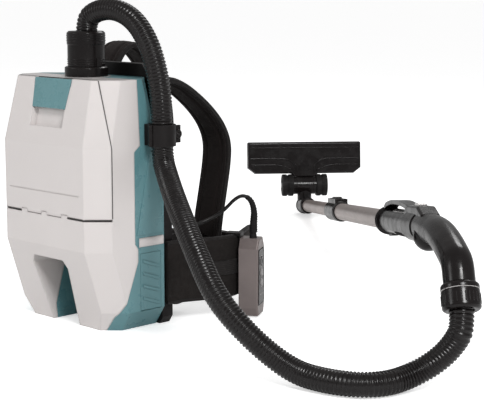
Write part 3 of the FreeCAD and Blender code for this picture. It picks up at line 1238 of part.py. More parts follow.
def make_handle():
    """Bent handle with its finger loop, release lever, suction slider and the swivel cuff."""
    frame = wand_frame()
    mouth = S.thick_start + S.thick_length - S.handle_seat
    middle = mouth + S.handle_neck
    start, neck_run = number(mouth), number(S.handle_neck)
    block_at = start + neck_run
    end = V(block_at + number(S.bend_run), 0, -number(S.end_drop))
    radius = number(S.handle_radius)
    lean = math.radians(number(S.end_lean))
    way = V(math.cos(lean), 0, -math.sin(lean))
    ring = number(S.end_ring_tall)
    neck_end = end - way * (ring + number(S.run_fit))
    bend = [V(block_at - 10, 0, 0), V(block_at + 95, 0, 0), V(block_at + 165, 0, -6), V(block_at + 216, 0, -22),
            neck_end - way * 30, neck_end]
    grip = tube_along("handle", bend, radius)
    socket = turned("handle_socket", "XZ_Plane", [
        (mouth, S.thick_radius), (mouth + 70, S.thick_radius), (mouth + 70, S.thin_bore),
        (middle + 60, S.thin_bore), (middle + 60, 24), (middle, 25), (middle - 20, 21),
        (mouth + 18, 20.5), (mouth + 14, 24), (mouth, 24),
    ], "H_Axis")
    hump = prism("handle_hump", "XZ_Plane", [
        (middle - 30, 0), (middle + 96, 0), (middle + 100, 20), (middle + 70, 31),
        (middle, 31), (middle - 12, 27),
    ], -15, 30)
    soften(hump, 4, lambda edge: edge.CenterOfMass.z > 24)
    chin = ball("handle_chin", 24, (middle + 88, 0, -12))
    rise = number(S.loop_rise)
    loop_points = [V(start + 8, 0, 14), V(start + 26, 0, 27), V(start + 0.34 * neck_run, 0, rise),
                   V(start + 0.65 * neck_run, 0, rise), V(block_at - 20, 0, 27), V(block_at + 6, 0, 20)]
    loop = band_along("handle_loop", loop_points, V(0, 1, 0), 22, 7)
    neck = Part.makeCylinder(19.5, 14, neck_end - way * 4, way)
    inside = rod("handle_bore", S.thick_radius, (mouth - 5, 0, 0), 75, "x")
    outer = fuse("handle_solid", made_shape("handle_grip", grip), socket, hump, chin, made_shape("handle_arch", loop))
    slot = block("slider_slot", (middle + 20, -7.4, 27), (middle + 66, 7.4, 34))
    core = made_shape("handle_core", Part.makeCylinder(19.5 + number(S.slide_fit), 15, neck_end - way * 14, way))
    inner_bore = rod("handle_duct", S.thin_bore, (mouth - 5, 0, 0), S.handle_neck + 114, "x")
    well = block("lever_well", (mouth + 29.6, -6.4, -30), (mouth + 60.4, 6.4, -18.1))
    node("handle", put(cut("handle_cut", outer, slot, well, inside, core, inner_bore), frame))
    key = prism("suction_slider", "XZ_Plane", [
        (middle + 24, 27.3), (middle + 48, 27.3), (middle + 48, 33), (middle + 44, 35.5),
        (middle + 28, 35.5), (middle + 24, 33),
    ], -7, 14)
    node("suction_slider", put(key, frame))
    bore = number(S.hose_radius + S.run_fit)
    seat = ring - 10
    shell = Part.makeCylinder(number(S.end_ring), ring, end - way * ring, way)
    shell = shell.makeFillet(5, [edge for edge in shell.Edges if edge.Curve.TypeId == "Part::GeomCircle"])
    spigot = Part.makeCylinder(19.5, 12, end - way * (ring + 12), way)
    groove = Part.makeCylinder(number(S.end_ring) + 2, 2.4, end - way * (ring - 9), way).cut(
        Part.makeCylinder(number(S.end_ring) - 1.6, 3, end - way * (ring - 8.7), way))
    cuff = shell.fuse(spigot).cut(groove).cut(Part.makeCylinder(bore, ring, end - way * seat, way))
    cuff = cuff.cut(Part.makeCylinder(number(S.hose_bore), 80, end - way * 70, way))
    node("handle_cuff", put(made_shape("cuff_ring", cuff.removeSplitter()), frame))
    lever = prism("release_lever", "XZ_Plane", [
        (mouth + 30, -20.4), (mouth + 60, -20.4), (mouth + 60, -23.4),
        (mouth + 36, -25.4), (mouth + 30, -23.4),
    ], -6, 12)
    node("release_lever", put(lever, frame))
    return frame.multVec(end), frame.Rotation.multVec(way)


def make_hose(end, way):
    """Suction hose: from the inlet over to the clip, down to the floor, round a loop and up to the handle."""
    top = number(S.unit_height + S.flange_tall + S.hose_seat)
    over = top + 47
    x, y = number(S.clip_x), number(S.clip_y)
    inlet = number(S.inlet_y)
    ring = number(S.end_ring_tall)
    low = number(S.hose_radius) + 0.5
    points = [
        V(0, inlet, top), V(0, inlet, over), V(19, inlet + 3, over + 17), V(60, inlet + 9, over + 23),
        V(103, inlet + 15, over + 7), V(134, inlet + 19, over - 31), V(150, inlet + 22, over - 77), V(x, y, 370), V(x, y, 279),
        V(190, -56, 254), V(243, -91, 232), V(302, -124, 201), V(360, -150, 160), V(412, -167, 116),
        V(458, -160, 76), V(497, -140, 40), V(534, -126, low + 2), V(574, -122, low), V(606, -115, low),
        V(632, -100, low), V(648, -74, low), V(652, -44, low + 1), V(664, -18, 28), V(684, -3, 46), V(700, 7, 68),
        end + way * 22, end - way * (ring - 10),
    ]
    hose = ribbed_along("suction_hose", points, number(S.hose_radius), number(S.hose_valley), number(S.hose_bore),
                        int(number(S.hose_ribs)))
    node("suction_hose", made_shape("hose", hose))


def write_all():
    """Check every object, then write each sub-part."""
    doc.recompute()
    faults = [made.Label for made in doc.Objects if "Invalid" in made.State or "Error" in made.State]
    for name, made in NODES.items():
        if made.Shape.isNull() or not made.Shape.isValid():
            faults.append(name)
    if faults:
        raise RuntimeError("not sound: " + ", ".join(faults))
    os.makedirs("parts", exist_ok=True)
    for name, made in NODES.items():
        made.Shape.exportStep("parts/" + name + ".step")
        if len(made.Shape.Solids) != 1:
            print("solids", name, len(made.Shape.Solids))
    print(len(NODES), "nodes")


def main():
    """Build the whole vacuum cleaner."""
    front, rear, cover = make_shells()
    make_front(front)
    make_cover(cover)
    make_rear(rear)
    make_air_path()
    make_clip()
    make_plate()
    make_harness()
    make_control()
    make_wand()
    end, way = make_handle()
    make_hose(end, way)
    write_all()


main()
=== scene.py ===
"""Backpack vacuum cleaner: finishes, soft goods, hose, cable and trim around its CAD frame."""

import logging
import math
import random
from dataclasses import dataclass, field
from enum import Enum
from typing import Callable, Iterable, Sequence, Union

import bmesh
import bpy
import numpy as np
from mathutils import Matrix, Vector, noise


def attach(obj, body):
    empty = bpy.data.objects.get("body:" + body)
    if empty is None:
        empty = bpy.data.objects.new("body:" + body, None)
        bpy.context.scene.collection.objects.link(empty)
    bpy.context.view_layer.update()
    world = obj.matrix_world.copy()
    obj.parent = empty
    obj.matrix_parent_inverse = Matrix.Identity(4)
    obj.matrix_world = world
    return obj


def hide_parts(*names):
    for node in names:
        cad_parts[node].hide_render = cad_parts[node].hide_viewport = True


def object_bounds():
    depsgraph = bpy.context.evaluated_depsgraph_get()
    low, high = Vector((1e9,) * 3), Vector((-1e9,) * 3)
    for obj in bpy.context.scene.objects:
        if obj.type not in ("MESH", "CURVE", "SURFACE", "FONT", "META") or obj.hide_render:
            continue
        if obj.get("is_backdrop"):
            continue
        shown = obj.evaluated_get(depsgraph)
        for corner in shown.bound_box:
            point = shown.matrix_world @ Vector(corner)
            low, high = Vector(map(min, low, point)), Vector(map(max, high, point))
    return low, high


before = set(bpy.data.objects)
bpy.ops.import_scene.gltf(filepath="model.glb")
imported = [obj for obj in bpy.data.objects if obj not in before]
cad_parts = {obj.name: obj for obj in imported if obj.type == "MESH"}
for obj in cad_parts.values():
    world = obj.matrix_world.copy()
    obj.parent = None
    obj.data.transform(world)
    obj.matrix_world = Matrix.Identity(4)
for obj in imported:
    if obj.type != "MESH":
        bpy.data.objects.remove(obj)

LOG = logging.getLogger("backpack_vacuum")
MM = 0.001
FULL_TURN = 2 * math.pi
WHITE = (1.0, 1.0, 1.0, 1.0)
BEVEL_SAMPLES = 6
WAND_DEGREES = 39.51

Colour = tuple[float, float, float]
Point = Sequence[float]
Section = Sequence[tuple[float, float]]
Socket = bpy.types.NodeSocket
Value = Union[float, Colour, Socket]


class Side(Enum):
    """The wearer's two sides, as the sign of X."""

    RIGHT = 1
    LEFT = -1

    @property
    def word(self) -> str:
        """The side's name in piece names."""
        return self.name.lower()


class Effect(Enum):
    """Shader effects that several finishes share."""

    GRAIN = "moulded_grain"
    WEAR = "handling_wear"
    DUST = "settled_dust"
    WEAVE = "woven_band"
    KNIT = "spacer_knit"
    DRAWN = "drawn_metal"


class NodeSheet:
    """A node tree with short calls that add, set and join nodes."""

    def __init__(self, tree: bpy.types.NodeTree) -> None:
        """Keep the tree."""
        self.tree = tree

    def add(self, kind: str, inputs: dict | None = None, **settings: object) -> bpy.types.Node:
        """Add a node.

        Args:
            kind: the node's type.
            inputs: values or sockets for its inputs.
            settings: the node's own settings.

        Returns:
            The new node.
        """
        made = self.tree.nodes.new(kind)
        for name, value in settings.items():
            setattr(made, name, value)
        for key, value in (inputs or {}).items():
            if isinstance(value, bpy.types.NodeSocket):
                self.tree.links.new(value, made.inputs[key])
            else:
                made.inputs[key].default_value = value
        return made

    def calc(self, operation: str, first: Value, second: Value = 0.0) -> Socket:
        """One sum of two values, as a socket."""
        return self.add("ShaderNodeMath", {0: first, 1: second}, operation=operation).outputs[0]

    def span(self, value: Socket, low: float, high: float, to_low: float = 0.0,
             to_high: float = 1.0) -> Socket:
        """A value carried smoothly from one range to another."""
        ends = {0: value, 1: low, 2: high, 3: to_low, 4: to_high}
        return self.add("ShaderNodeMapRange", ends, interpolation_type="SMOOTHSTEP").outputs[0]

    def blend(self, share: Value, first: Value, second: Value) -> Socket:
        """Mix two colours.

        Args:
            share: how much of the second one there is.
            first: a colour or a socket.
            second: a colour or a socket.

        Returns:
            The mixed colour.
        """
        ends = [value if isinstance(value, bpy.types.NodeSocket) else (*value, 1.0)
                for value in (first, second)]
        made = self.add("ShaderNodeMix", {0: share, 6: ends[0], 7: ends[1]}, data_type="RGBA")
        return made.outputs[2]

    def cloud(self, where: Socket, scale: Value, detail: float = 2.0) -> Socket:
        """Soft noise at some scale."""
        inputs = {"Vector": where, "Scale": scale, "Detail": detail}
        return self.add("ShaderNodeTexNoise", inputs).outputs["Fac"]


class EffectShelf:
    """The shared node groups, each built once."""

    INPUTS: dict[Effect, dict[str, float]] = {
        Effect.GRAIN: {"Grain": 900.0, "Patch": 9.0},
        Effect.WEAR: {"Size": 60.0, "Cover": 0.2},
        Effect.DUST: {"Size": 25.0, "Amount": 0.2},
        Effect.WEAVE: {"Across": 12.0, "Along": 100.0},
        Effect.KNIT: {"Cells": 300.0},
        Effect.DRAWN: {"Fine": 900.0, "Turn": 0.0},
    }
    OUTPUTS: dict[Effect, tuple[str, ...]] = {
        Effect.GRAIN: ("Height", "Shade", "Patches"),
        Effect.WEAR: ("Mask",),
        Effect.DUST: ("Mask",),
        Effect.WEAVE: ("Height", "Shade"),
        Effect.KNIT: ("Height", "Holes"),
        Effect.DRAWN: ("Height", "Shade"),
    }

    def __init__(self) -> None:
        """Start with no group built."""
        self.trees: dict[Effect, bpy.types.NodeTree] = {}

    def tree(self, effect: Effect) -> bpy.types.NodeTree:
        """The group of an effect, built at its first use.

        Args:
            effect: which effect.

        Returns:
            Its node group.
        """
        if effect in self.trees:
            return self.trees[effect]
        tree = bpy.data.node_groups.new(effect.value, "ShaderNodeTree")
        for name, value in self.INPUTS[effect].items():
            made = tree.interface.new_socket(name=name, in_out="INPUT",
                                             socket_type="NodeSocketFloat")
            made.default_value = value
        for name in self.OUTPUTS[effect]:
            tree.interface.new_socket(name=name, in_out="OUTPUT", socket_type="NodeSocketFloat")
        sheet = NodeSheet(tree)
        given = sheet.add("NodeGroupInput")
        place = sheet.add("ShaderNodeTexCoord")
        builders: dict[Effect, Callable] = {
            Effect.GRAIN: self._grain, Effect.WEAR: self._wear, Effect.DUST: self._dust,
            Effect.WEAVE: self._weave, Effect.KNIT: self._knit, Effect.DRAWN: self._drawn,
        }
        results = builders[effect](sheet, given.outputs, place.outputs)
        out = sheet.add("NodeGroupOutput")
        for name, result in zip(self.OUTPUTS[effect], results):
            tree.links.new(result, out.inputs[name])
        self.trees[effect] = tree
        return tree

    @staticmethod
    def _grain(sheet: NodeSheet, given: Sequence[Socket],
               place: Sequence[Socket]) -> tuple[Socket, ...]:
        """Fine texture of a moulded face, with slow changes of shade and gloss.

        Args:
            sheet: the group's nodes.
            given: the group's inputs.
            place: texture coordinates.

        Returns:
            Height, shade and patches.
        """
        fine = sheet.cloud(place["Object"], given["Grain"], detail=3.0)
        slow = sheet.cloud(place["Object"], given["Patch"], detail=4.0)
        smaller = sheet.calc("MULTIPLY", given["Patch"], 5.3)
        patches = sheet.cloud(place["Object"], smaller, detail=5.0)
        return fine, sheet.span(slow, 0.3, 0.7), sheet.span(patches, 0.35, 0.65)

    @staticmethod
    def _wear(sheet: NodeSheet, given: Sequence[Socket],
              place: Sequence[Socket]) -> tuple[Socket, ...]:
        """Thin rubbed marks that gather in patches.

        Args:
            sheet: the group's nodes.
            given: the group's inputs.
            place: texture coordinates.

        Returns:
            The mask.
        """
        drawn_out = sheet.add("ShaderNodeMapping", {
            "Vector": place["Object"], "Rotation": (0.5, 0.3, 0.9), "Scale": (1.0, 0.12, 1.0)})
        fine = sheet.calc("MULTIPLY", given["Size"], 6.0)
        marks = sheet.cloud(drawn_out.outputs[0], fine, detail=5.0)
        patches = sheet.cloud(place["Object"], given["Size"], detail=2.0)
        both = sheet.calc("MULTIPLY", sheet.span(marks, 0.56, 0.72),
                          sheet.span(patches, 0.45, 0.7))
        return (sheet.calc("MULTIPLY", both, given["Cover"]),)

    @staticmethod
    def _dust(sheet: NodeSheet, given: Sequence[Socket],
              place: Sequence[Socket]) -> tuple[Socket, ...]:
        """Dust that lies on faces turned upward.

        Args:
            sheet: the group's nodes.
            given: the group's inputs.
            place: texture coordinates.

        Returns:
            The mask.
        """
        normal = sheet.add("ShaderNodeNewGeometry").outputs["Normal"]
        up = sheet.add("ShaderNodeSeparateXYZ", {0: normal}).outputs[2]
        soft = sheet.cloud(place["Object"], given["Size"], detail=6.0)
        lying = sheet.calc("MULTIPLY", sheet.span(up, 0.2, 0.95), sheet.span(soft, 0.3, 0.8))
        return (sheet.calc("MULTIPLY", lying, given["Amount"]),)

    @staticmethod
    def _weave(sheet: NodeSheet, given: Sequence[Socket],
               place: Sequence[Socket]) -> tuple[Socket, ...]:
        """Threads of a woven band, laid out by its own width and length.

        Args:
            sheet: the group's nodes.
            given: the group's inputs.
            place: texture coordinates.

        Returns:
            Height, and painted shade that darkens the gaps between threads.
        """
        flat = sheet.add("ShaderNodeSeparateXYZ", {0: place["UV"]}).outputs
        across = sheet.calc("MULTIPLY", flat[0], given["Across"])
        half_step = sheet.calc("MULTIPLY", sheet.calc("FLOOR", across), 0.5)
        along = sheet.calc("ADD", sheet.calc("MULTIPLY", flat[1], given["Along"]), half_step)
        rows, picks = (
            sheet.calc("ABSOLUTE", sheet.calc("SINE", sheet.calc("MULTIPLY", way, math.pi)))
            for way in (across, along))
        height = sheet.calc("MULTIPLY", sheet.calc("POWER", rows, 0.6),
                            sheet.calc("POWER", picks, 0.5))
        fuzz = sheet.cloud(place["Object"], 700.0, detail=4.0)
        return height, sheet.calc("MULTIPLY", height, sheet.span(fuzz, 0.2, 0.7, 0.6, 1.0))

    @staticmethod
    def _knit(sheet: NodeSheet, given: Sequence[Socket],
              place: Sequence[Socket]) -> tuple[Socket, ...]:
        """Open cells of a spacer knit, with fibre between them.

        Args:
            sheet: the group's nodes.
            given: the group's inputs.
            place: texture coordinates.

        Returns:
            Height and holes.
        """
        cells = sheet.add("ShaderNodeTexVoronoi", {
            "Vector": place["Object"], "Scale": given["Cells"], "Randomness": 0.35})
        holes = sheet.span(cells.outputs["Distance"], 0.18, 0.42, 1.0, 0.0)
        finer = sheet.calc("MULTIPLY", given["Cells"], 5.0)
        fibre = sheet.cloud(place["Object"], finer, detail=3.0)
        solid = sheet.calc("SUBTRACT", 1.0, holes)
        return sheet.calc("MULTIPLY", solid, sheet.span(fibre, 0.2, 0.8, 0.7, 1.0)), holes

    @staticmethod
    def _drawn(sheet: NodeSheet, given: Sequence[Socket],
               place: Sequence[Socket]) -> tuple[Socket, ...]:
        """Fine lines that run along a drawn tube.

        Args:
            sheet: the group's nodes.
            given: the group's inputs.
            place: texture coordinates.

        Returns:
            Height and shade.
        """
        turned = sheet.add("ShaderNodeVectorRotate", {
            "Vector": place["Object"], "Angle": given["Turn"]}, rotation_type="Z_AXIS")
        thin = sheet.add("ShaderNodeMapping", {
            "Vector": turned.outputs[0], "Scale": (0.02, 1.0, 1.0)})
        lines = sheet.cloud(thin.outputs[0], given["Fine"], detail=4.0)
        slow = sheet.cloud(place["Object"], 14.0, detail=3.0)
        return lines, sheet.span(slow, 0.3, 0.7)


SHELF = EffectShelf()


class MaterialSheet(NodeSheet):
    """The nodes of one material, around its Principled shader."""

    def __init__(self, name: str) -> None:
        """Make an empty material with a Principled shader.

        Args:
            name: the material's name.
        """
        self.material = bpy.data.materials.new(name)
        self.material.use_nodes = True
        super().__init__(self.material.node_tree)
        self.shader = next(n for n in self.tree.nodes if n.type == "BSDF_PRINCIPLED")

    def effect(self, effect: Effect, **values: float) -> bpy.types.NodeOutputs:
        """Place a shared effect with this material's own values."""
        return self.add("ShaderNodeGroup", values, node_tree=SHELF.tree(effect)).outputs

    def join(self, colour: Socket, roughness: Socket, heights: Sequence[tuple[Socket, float]],
             normal: Socket | None = None, **constants: object) -> bpy.types.Material:
        """Feed the shader.

        Args:
            colour: base colour.
            roughness: roughness.
            heights: bump heights and their depths in metres, from the finest on.
            normal: the normal that the bumps start from.
            constants: plain values of the shader's own sockets, with _ for a space.

        Returns:
            The finished material.
        """
        self.tree.links.new(colour, self.shader.inputs["Base Color"])
        self.tree.links.new(roughness, self.shader.inputs["Roughness"])
        for height, depth in heights:
            inputs = {"Height": height, "Distance": depth, "Strength": 1.0}
            if normal is not None:
                inputs["Normal"] = normal
            normal = self.add("ShaderNodeBump", inputs).outputs[0]
        if normal is not None:
            self.tree.links.new(normal, self.shader.inputs["Normal"])
        for name, value in constants.items():
            self.shader.inputs[name.replace("_", " ")].default_value = value
        return self.material


def tinted(colour: Colour, share: float) -> Colour:
    """A colour made lighter or darker by a share."""
    return tuple(min(1.0, part * share) for part in colour)


@dataclass(frozen=True)
class Moulding:
    """A moulded plastic or lacquered face: grain, patchy gloss, rubbed marks and a little dust."""

    name: str
    colour: Colour
    gloss: float
    swing: float = 0.07
    grain: float = 900.0
    depth: float = 0.00003
    patch: float = 9.0
    wear: float = 0.25
    worn: Colour = (0.45, 0.44, 0.43)
    dust: float = 0.08
    coat: float = 0.0
    metal: float = 0.0
    specular: float = 0.5
    shade: float = 0.08
    edge: float = 0.0
    dusty: Colour = (0.56, 0.53, 0.49)
    wear_size: float = 70.0
    wear_depth: float = -0.00003
    wear_rough: float = 0.35
    dust_size: float = 30.0
    dust_rough: float = 0.5
    coat_rough: float = 0.12

    def material(self) -> bpy.types.Material:
        """Build the finish's nodes.

        Returns:
            The material.
        """
        sheet = MaterialSheet(self.name)
        grain = sheet.effect(Effect.GRAIN, Grain=self.grain, Patch=self.patch)
        wear = sheet.effect(Effect.WEAR, Size=self.wear_size, Cover=self.wear)["Mask"]
        dust = sheet.effect(Effect.DUST, Size=self.dust_size, Amount=self.dust)["Mask"]
        colour = sheet.blend(grain["Shade"], tinted(self.colour, 1 - self.shade),
                             tinted(self.colour, 1 + self.shade))
        colour = sheet.blend(wear, colour, self.worn)
        colour = sheet.blend(dust, colour, self.dusty)
        rough = sheet.span(grain["Patches"], 0.0, 1.0, self.gloss - self.swing,
                           self.gloss + self.swing)
        for mask, share in ((wear, self.wear_rough), (dust, self.dust_rough)):
            rough = sheet.calc("ADD", rough, sheet.calc("MULTIPLY", mask, share))
        start = None
        if self.edge:
            rounded = sheet.add("ShaderNodeBevel", {"Radius": self.edge}, samples=BEVEL_SAMPLES)
            start = rounded.outputs[0]
        return sheet.join(colour, rough, [(grain["Height"], self.depth), (wear, self.wear_depth)],
                          start, Metallic=self.metal, Coat_Weight=self.coat,
                          Specular_IOR_Level=self.specular, Coat_Roughness=self.coat_rough)


@dataclass(frozen=True)
class SpacerFabric:
    """Black spacer mesh or smooth lining over foam."""

    name: str
    colour: Colour
    cells: float = 330.0
    depth: float = 0.0006
    lint: float = 0.10
    lint_colour: Colour = (0.32, 0.29, 0.27)
    lint_size: float = 80.0
    fibre: float = 1500.0
    fibre_depth: float = 0.00015
    patch: float = 16.0
    sheen: float = 0.06
    sheen_rough: float = 0.45
    sheen_tint: tuple[float, ...] = (0.75, 0.68, 0.64, 1.0)
    specular: float = 0.16

    def material(self) -> bpy.types.Material:
        """Build the finish's nodes.

        Returns:
            The material.
        """
        sheet = MaterialSheet(self.name)
        knit = sheet.effect(Effect.KNIT, Cells=self.cells)
        grain = sheet.effect(Effect.GRAIN, Grain=self.fibre, Patch=self.patch)
        dust = sheet.effect(Effect.DUST, Size=self.lint_size, Amount=self.lint)["Mask"]
        colour = sheet.blend(grain["Shade"], tinted(self.colour, 0.82), tinted(self.colour, 1.2))
        # Darker in the knit's open cells: painted shade in the holes.
        colour = sheet.blend(knit["Holes"], colour, tinted(self.colour, 0.35))
        colour = sheet.blend(dust, colour, self.lint_colour)
        rough = sheet.span(grain["Patches"], 0.0, 1.0, 0.78, 0.94)
        heights = [(knit["Height"], self.depth), (grain["Height"], self.fibre_depth)]
        return sheet.join(colour, rough, heights, Sheen_Weight=self.sheen,
                          Sheen_Roughness=self.sheen_rough, Sheen_Tint=self.sheen_tint,
                          Specular_IOR_Level=self.specular)


@dataclass(frozen=True)
class WovenBand:
    """Woven webbing or binding tape, laid out by the piece's own width and length."""

    name: str
    colour: Colour
    across: float = 1.0
    along: float = 1.0
    depth: float = 0.0004
    gloss: float = 0.62
    fibre: float = 2200.0
    fibre_depth: float = 0.0001
    patch: float = 30.0
    sheen: float = 0.05
    sheen_rough: float = 0.4
    specular: float = 0.25

    def material(self) -> bpy.types.Material:
        """Build the finish's nodes.

        Returns:
            The material.
        """
        sheet = MaterialSheet(self.name)
        weave = sheet.effect(Effect.WEAVE, Across=self.across, Along=self.along)
        grain = sheet.effect(Effect.GRAIN, Grain=self.fibre, Patch=self.patch)
        # Darker between the threads and lighter on their crowns: painted shade that follows the
        # weave's height.
        colour = sheet.blend(weave["Shade"], tinted(self.colour, 0.4), tinted(self.colour, 1.35))
        faded = sheet.calc("MULTIPLY", grain["Shade"], 0.3)
        colour = sheet.blend(faded, colour, tinted(self.colour, 0.7))
        rough = sheet.span(grain["Patches"], 0.0, 1.0, self.gloss - 0.08, self.gloss + 0.1)
        heights = [(weave["Height"], self.depth), (grain["Height"], self.fibre_depth)]
        return sheet.join(colour, rough, heights, Sheen_Weight=self.sheen,
                          Sheen_Roughness=self.sheen_rough, Specular_IOR_Level=self.specular)


@dataclass(frozen=True)
class DrawnMetal:
    """Anodised or ground metal with lines along it."""

    name: str
    colour: Colour
    gloss: float
    metal: float = 0.8
    turn: float = 0.0
    fine: float = 900.0
    wear: float = 0.3
    wear_size: float = 50.0
    depth: float = 0.00002

    def material(self) -> bpy.types.Material:
        """Build the finish's nodes.

        Returns:
            The material.
        """
        sheet = MaterialSheet(self.name)
        lines = sheet.effect(Effect.DRAWN, Fine=self.fine, Turn=self.turn)
        wear = sheet.effect(Effect.WEAR, Size=self.wear_size, Cover=self.wear)["Mask"]
        colour = sheet.blend(lines["Shade"], tinted(self.colour, 0.93), tinted(self.colour, 1.06))
        colour = sheet.blend(wear, colour, tinted(self.colour, 1.4))
        rough = sheet.span(lines["Height"], 0.3, 0.7, self.gloss - 0.06, self.gloss + 0.08)
        return sheet.join(colour, rough, [(lines["Height"], self.depth), (wear, -self.depth)],
                          Metallic=self.metal)


@dataclass(frozen=True)
class FibrePaper:
    """Paper, card or fleece with tangled fibres."""

    name: str
    colour: Colour
    fibre: float = 400.0
    depth: float = 0.00025
    patch: float = 22.0
    wear: float = 0.4
    wear_size: float = 160.0
    wear_depth: float = 0.0002
    specular: float = 0.25

    def material(self) -> bpy.types.Material:
        """Build the finish's nodes.

        Returns:
            The material.
        """
        sheet = MaterialSheet(self.name)
        grain = sheet.effect(Effect.GRAIN, Grain=self.fibre, Patch=self.patch)
        wear = sheet.effect(Effect.WEAR, Size=self.wear_size, Cover=self.wear)["Mask"]
        colour = sheet.blend(grain["Shade"], tinted(self.colour, 0.88), tinted(self.colour, 1.05))
        colour = sheet.blend(wear, colour, tinted(self.colour, 0.72))
        rough = sheet.span(grain["Patches"], 0.0, 1.0, 0.8, 0.97)
        return sheet.join(colour, rough, [(grain["Height"], self.depth), (wear, self.wear_depth)],
                          Specular_IOR_Level=self.specular)


Finish = Union[Moulding, SpacerFabric, WovenBand, DrawnMetal, FibrePaper]

WHITE_SHELL = Moulding(
    "white_shell", (0.680, 0.640, 0.628), gloss=0.24, swing=0.03, grain=700.0, depth=0.000006,
    patch=5.0, wear=0.02, worn=(0.52, 0.50, 0.48), dust=0.02, coat=0.3, shade=0.02, edge=0.004)
TEAL_SHELL = Moulding(
    "teal_shell", (0.108, 0.246, 0.270), gloss=0.32, swing=0.05, grain=1300.0, depth=0.00002,
    patch=7.0, wear=0.12, worn=(0.20, 0.34, 0.36), dust=0.06, coat=0.15, shade=0.05, edge=0.0015)
TEAL_LATCH = Moulding(
    "teal_latch", (0.120, 0.258, 0.280), gloss=0.30, swing=0.05, grain=1300.0, depth=0.00002,
    patch=12.0, wear=0.12, worn=(0.22, 0.36, 0.38), dust=0.05, coat=0.15, shade=0.04,
    edge=0.0012)
BLACK_GLOSS = Moulding(
    "black_gloss_moulding", (0.0075, 0.0058, 0.0058), gloss=0.22, swing=0.05, grain=1000.0,
    depth=0.00001, patch=9.0, wear=0.12, worn=(0.05, 0.045, 0.043), dust=0.02, specular=0.26,
    edge=0.0012)
BLACK_GRAINED = Moulding(
    "black_grained_moulding", (0.0090, 0.0074, 0.0074), gloss=0.42, swing=0.06, grain=1600.0,
    depth=0.00005, patch=12.0, wear=0.15, worn=(0.05, 0.045, 0.045), dust=0.03, specular=0.2,
    edge=0.001)
HOSE_BLACK = Moulding(
    "hose_vinyl", (0.0070, 0.0055, 0.0055), gloss=0.27, swing=0.06, grain=500.0, depth=0.00002,
    patch=18.0, wear=0.15, worn=(0.04, 0.035, 0.035), dust=0.01, specular=0.34)
CABLE_BLACK = Moulding(
    "cable_jacket", (0.0080, 0.0070, 0.0070), gloss=0.40, swing=0.06, grain=1800.0,
    depth=0.00004, patch=40.0, wear=0.1, worn=(0.05, 0.05, 0.05), dust=0.02, specular=0.35)
TAUPE_CASE = Moulding(
    "taupe_lacquer", (0.180, 0.148, 0.142), gloss=0.36, swing=0.05, grain=2600.0,
    depth=0.00002, patch=16.0, wear=0.2, worn=(0.30, 0.26, 0.25), dust=0.03, coat=0.15,
    metal=0.3, edge=0.0012)
PANEL_DARK = Moulding(
    "dark_panel", (0.0090, 0.0080, 0.0095), gloss=0.14, swing=0.04, grain=900.0,
    depth=0.000005, patch=30.0, wear=0.15, worn=(0.05, 0.05, 0.05), dust=0.01, specular=0.25)
KEY_GREY = Moulding(
    "grey_keys", (0.30, 0.29, 0.29), gloss=0.42, swing=0.06, grain=1500.0, depth=0.00003,
    patch=60.0, wear=0.3, worn=(0.20, 0.20, 0.20), dust=0.04)
SOFT_RUBBER = Moulding(
    "soft_rubber", (0.0095, 0.0085, 0.0085), gloss=0.58, swing=0.08, grain=1400.0,
    depth=0.00006, patch=20.0, wear=0.2, worn=(0.05, 0.05, 0.05), dust=0.03, specular=0.2)
# Dark grey of the strip in the front cover's seam: painted shadow of the seam gap.
SEAM_SHADOW_GREY = Moulding(
    "painted_seam_shadow_grey", (0.060, 0.055, 0.054), gloss=0.55, swing=0.1, grain=1400.0, depth=0.00004,
    patch=40.0, wear=0.2, dust=0.05)
BATTERY_CASE = Moulding(
    "battery_case", (0.035, 0.035, 0.038), gloss=0.5, swing=0.08, grain=1600.0, depth=0.00006,
    patch=14.0, wear=0.3)
BOARD_GREEN = Moulding(
    "solder_mask", (0.020, 0.105, 0.050), gloss=0.3, swing=0.06, grain=900.0, depth=0.00003,
    patch=30.0, wear=0.2, dust=0.2)
BRISTLE = Moulding(
    "nylon_bristle", (0.016, 0.015, 0.015), gloss=0.4, swing=0.1, grain=2500.0, depth=0.00002,
    patch=80.0, wear=0.2)
PLAIN_FLOOR = Moulding(
    "plain_floor", (0.92, 0.92, 0.92), gloss=0.9, swing=0.02, grain=40.0, depth=0.00001,
    patch=2.0, wear=0.0, dust=0.0, specular=0.1, shade=0.004)
TUBE_TAUPE = DrawnMetal("taupe_anodised_tube", (0.420, 0.362, 0.342), gloss=0.34, metal=0.65,
                        turn=math.radians(WAND_DEGREES))
TRIM_SILVER = DrawnMetal("bright_trim", (0.62, 0.60, 0.59), gloss=0.26, metal=0.9,
                         turn=math.radians(WAND_DEGREES))
STEEL_PIN = DrawnMetal("ground_steel", (0.50, 0.50, 0.51), gloss=0.28, metal=0.95)
MOTOR_CAST = DrawnMetal("cast_aluminium", (0.46, 0.46, 0.47), gloss=0.45, metal=0.85, fine=300.0)
PAD_FABRIC = SpacerFabric("spacer_mesh", (0.0135, 0.0108, 0.0102))
STRAP_FABRIC = SpacerFabric("strap_cover", (0.0120, 0.0090, 0.0085), cells=520.0,
                            depth=0.00035, lint=0.03)
BELT_FABRIC = SpacerFabric("belt_cover", (0.0145, 0.0120, 0.0112), cells=620.0, depth=0.00025,
                           lint=0.05)
WEBBING = WovenBand("woven_webbing", (0.0150, 0.0125, 0.0120), across=14.0)
BINDING = WovenBand("binding_tape", (0.0120, 0.0098, 0.0094), across=6.0, depth=0.00025)
THREAD = WovenBand("sewing_thread", (0.032, 0.028, 0.027), across=3.0, along=4.0,
                   depth=0.00008, gloss=0.5)
BAG_FLEECE = FibrePaper("fleece_bag", (0.70, 0.655, 0.575), fibre=260.0, depth=0.0004)
COLLAR_CARD = FibrePaper("collar_card", (0.40, 0.285, 0.18), fibre=500.0)
FILTER_PAPER = FibrePaper("filter_medium", (0.74, 0.74, 0.71), fibre=700.0, depth=0.0001)


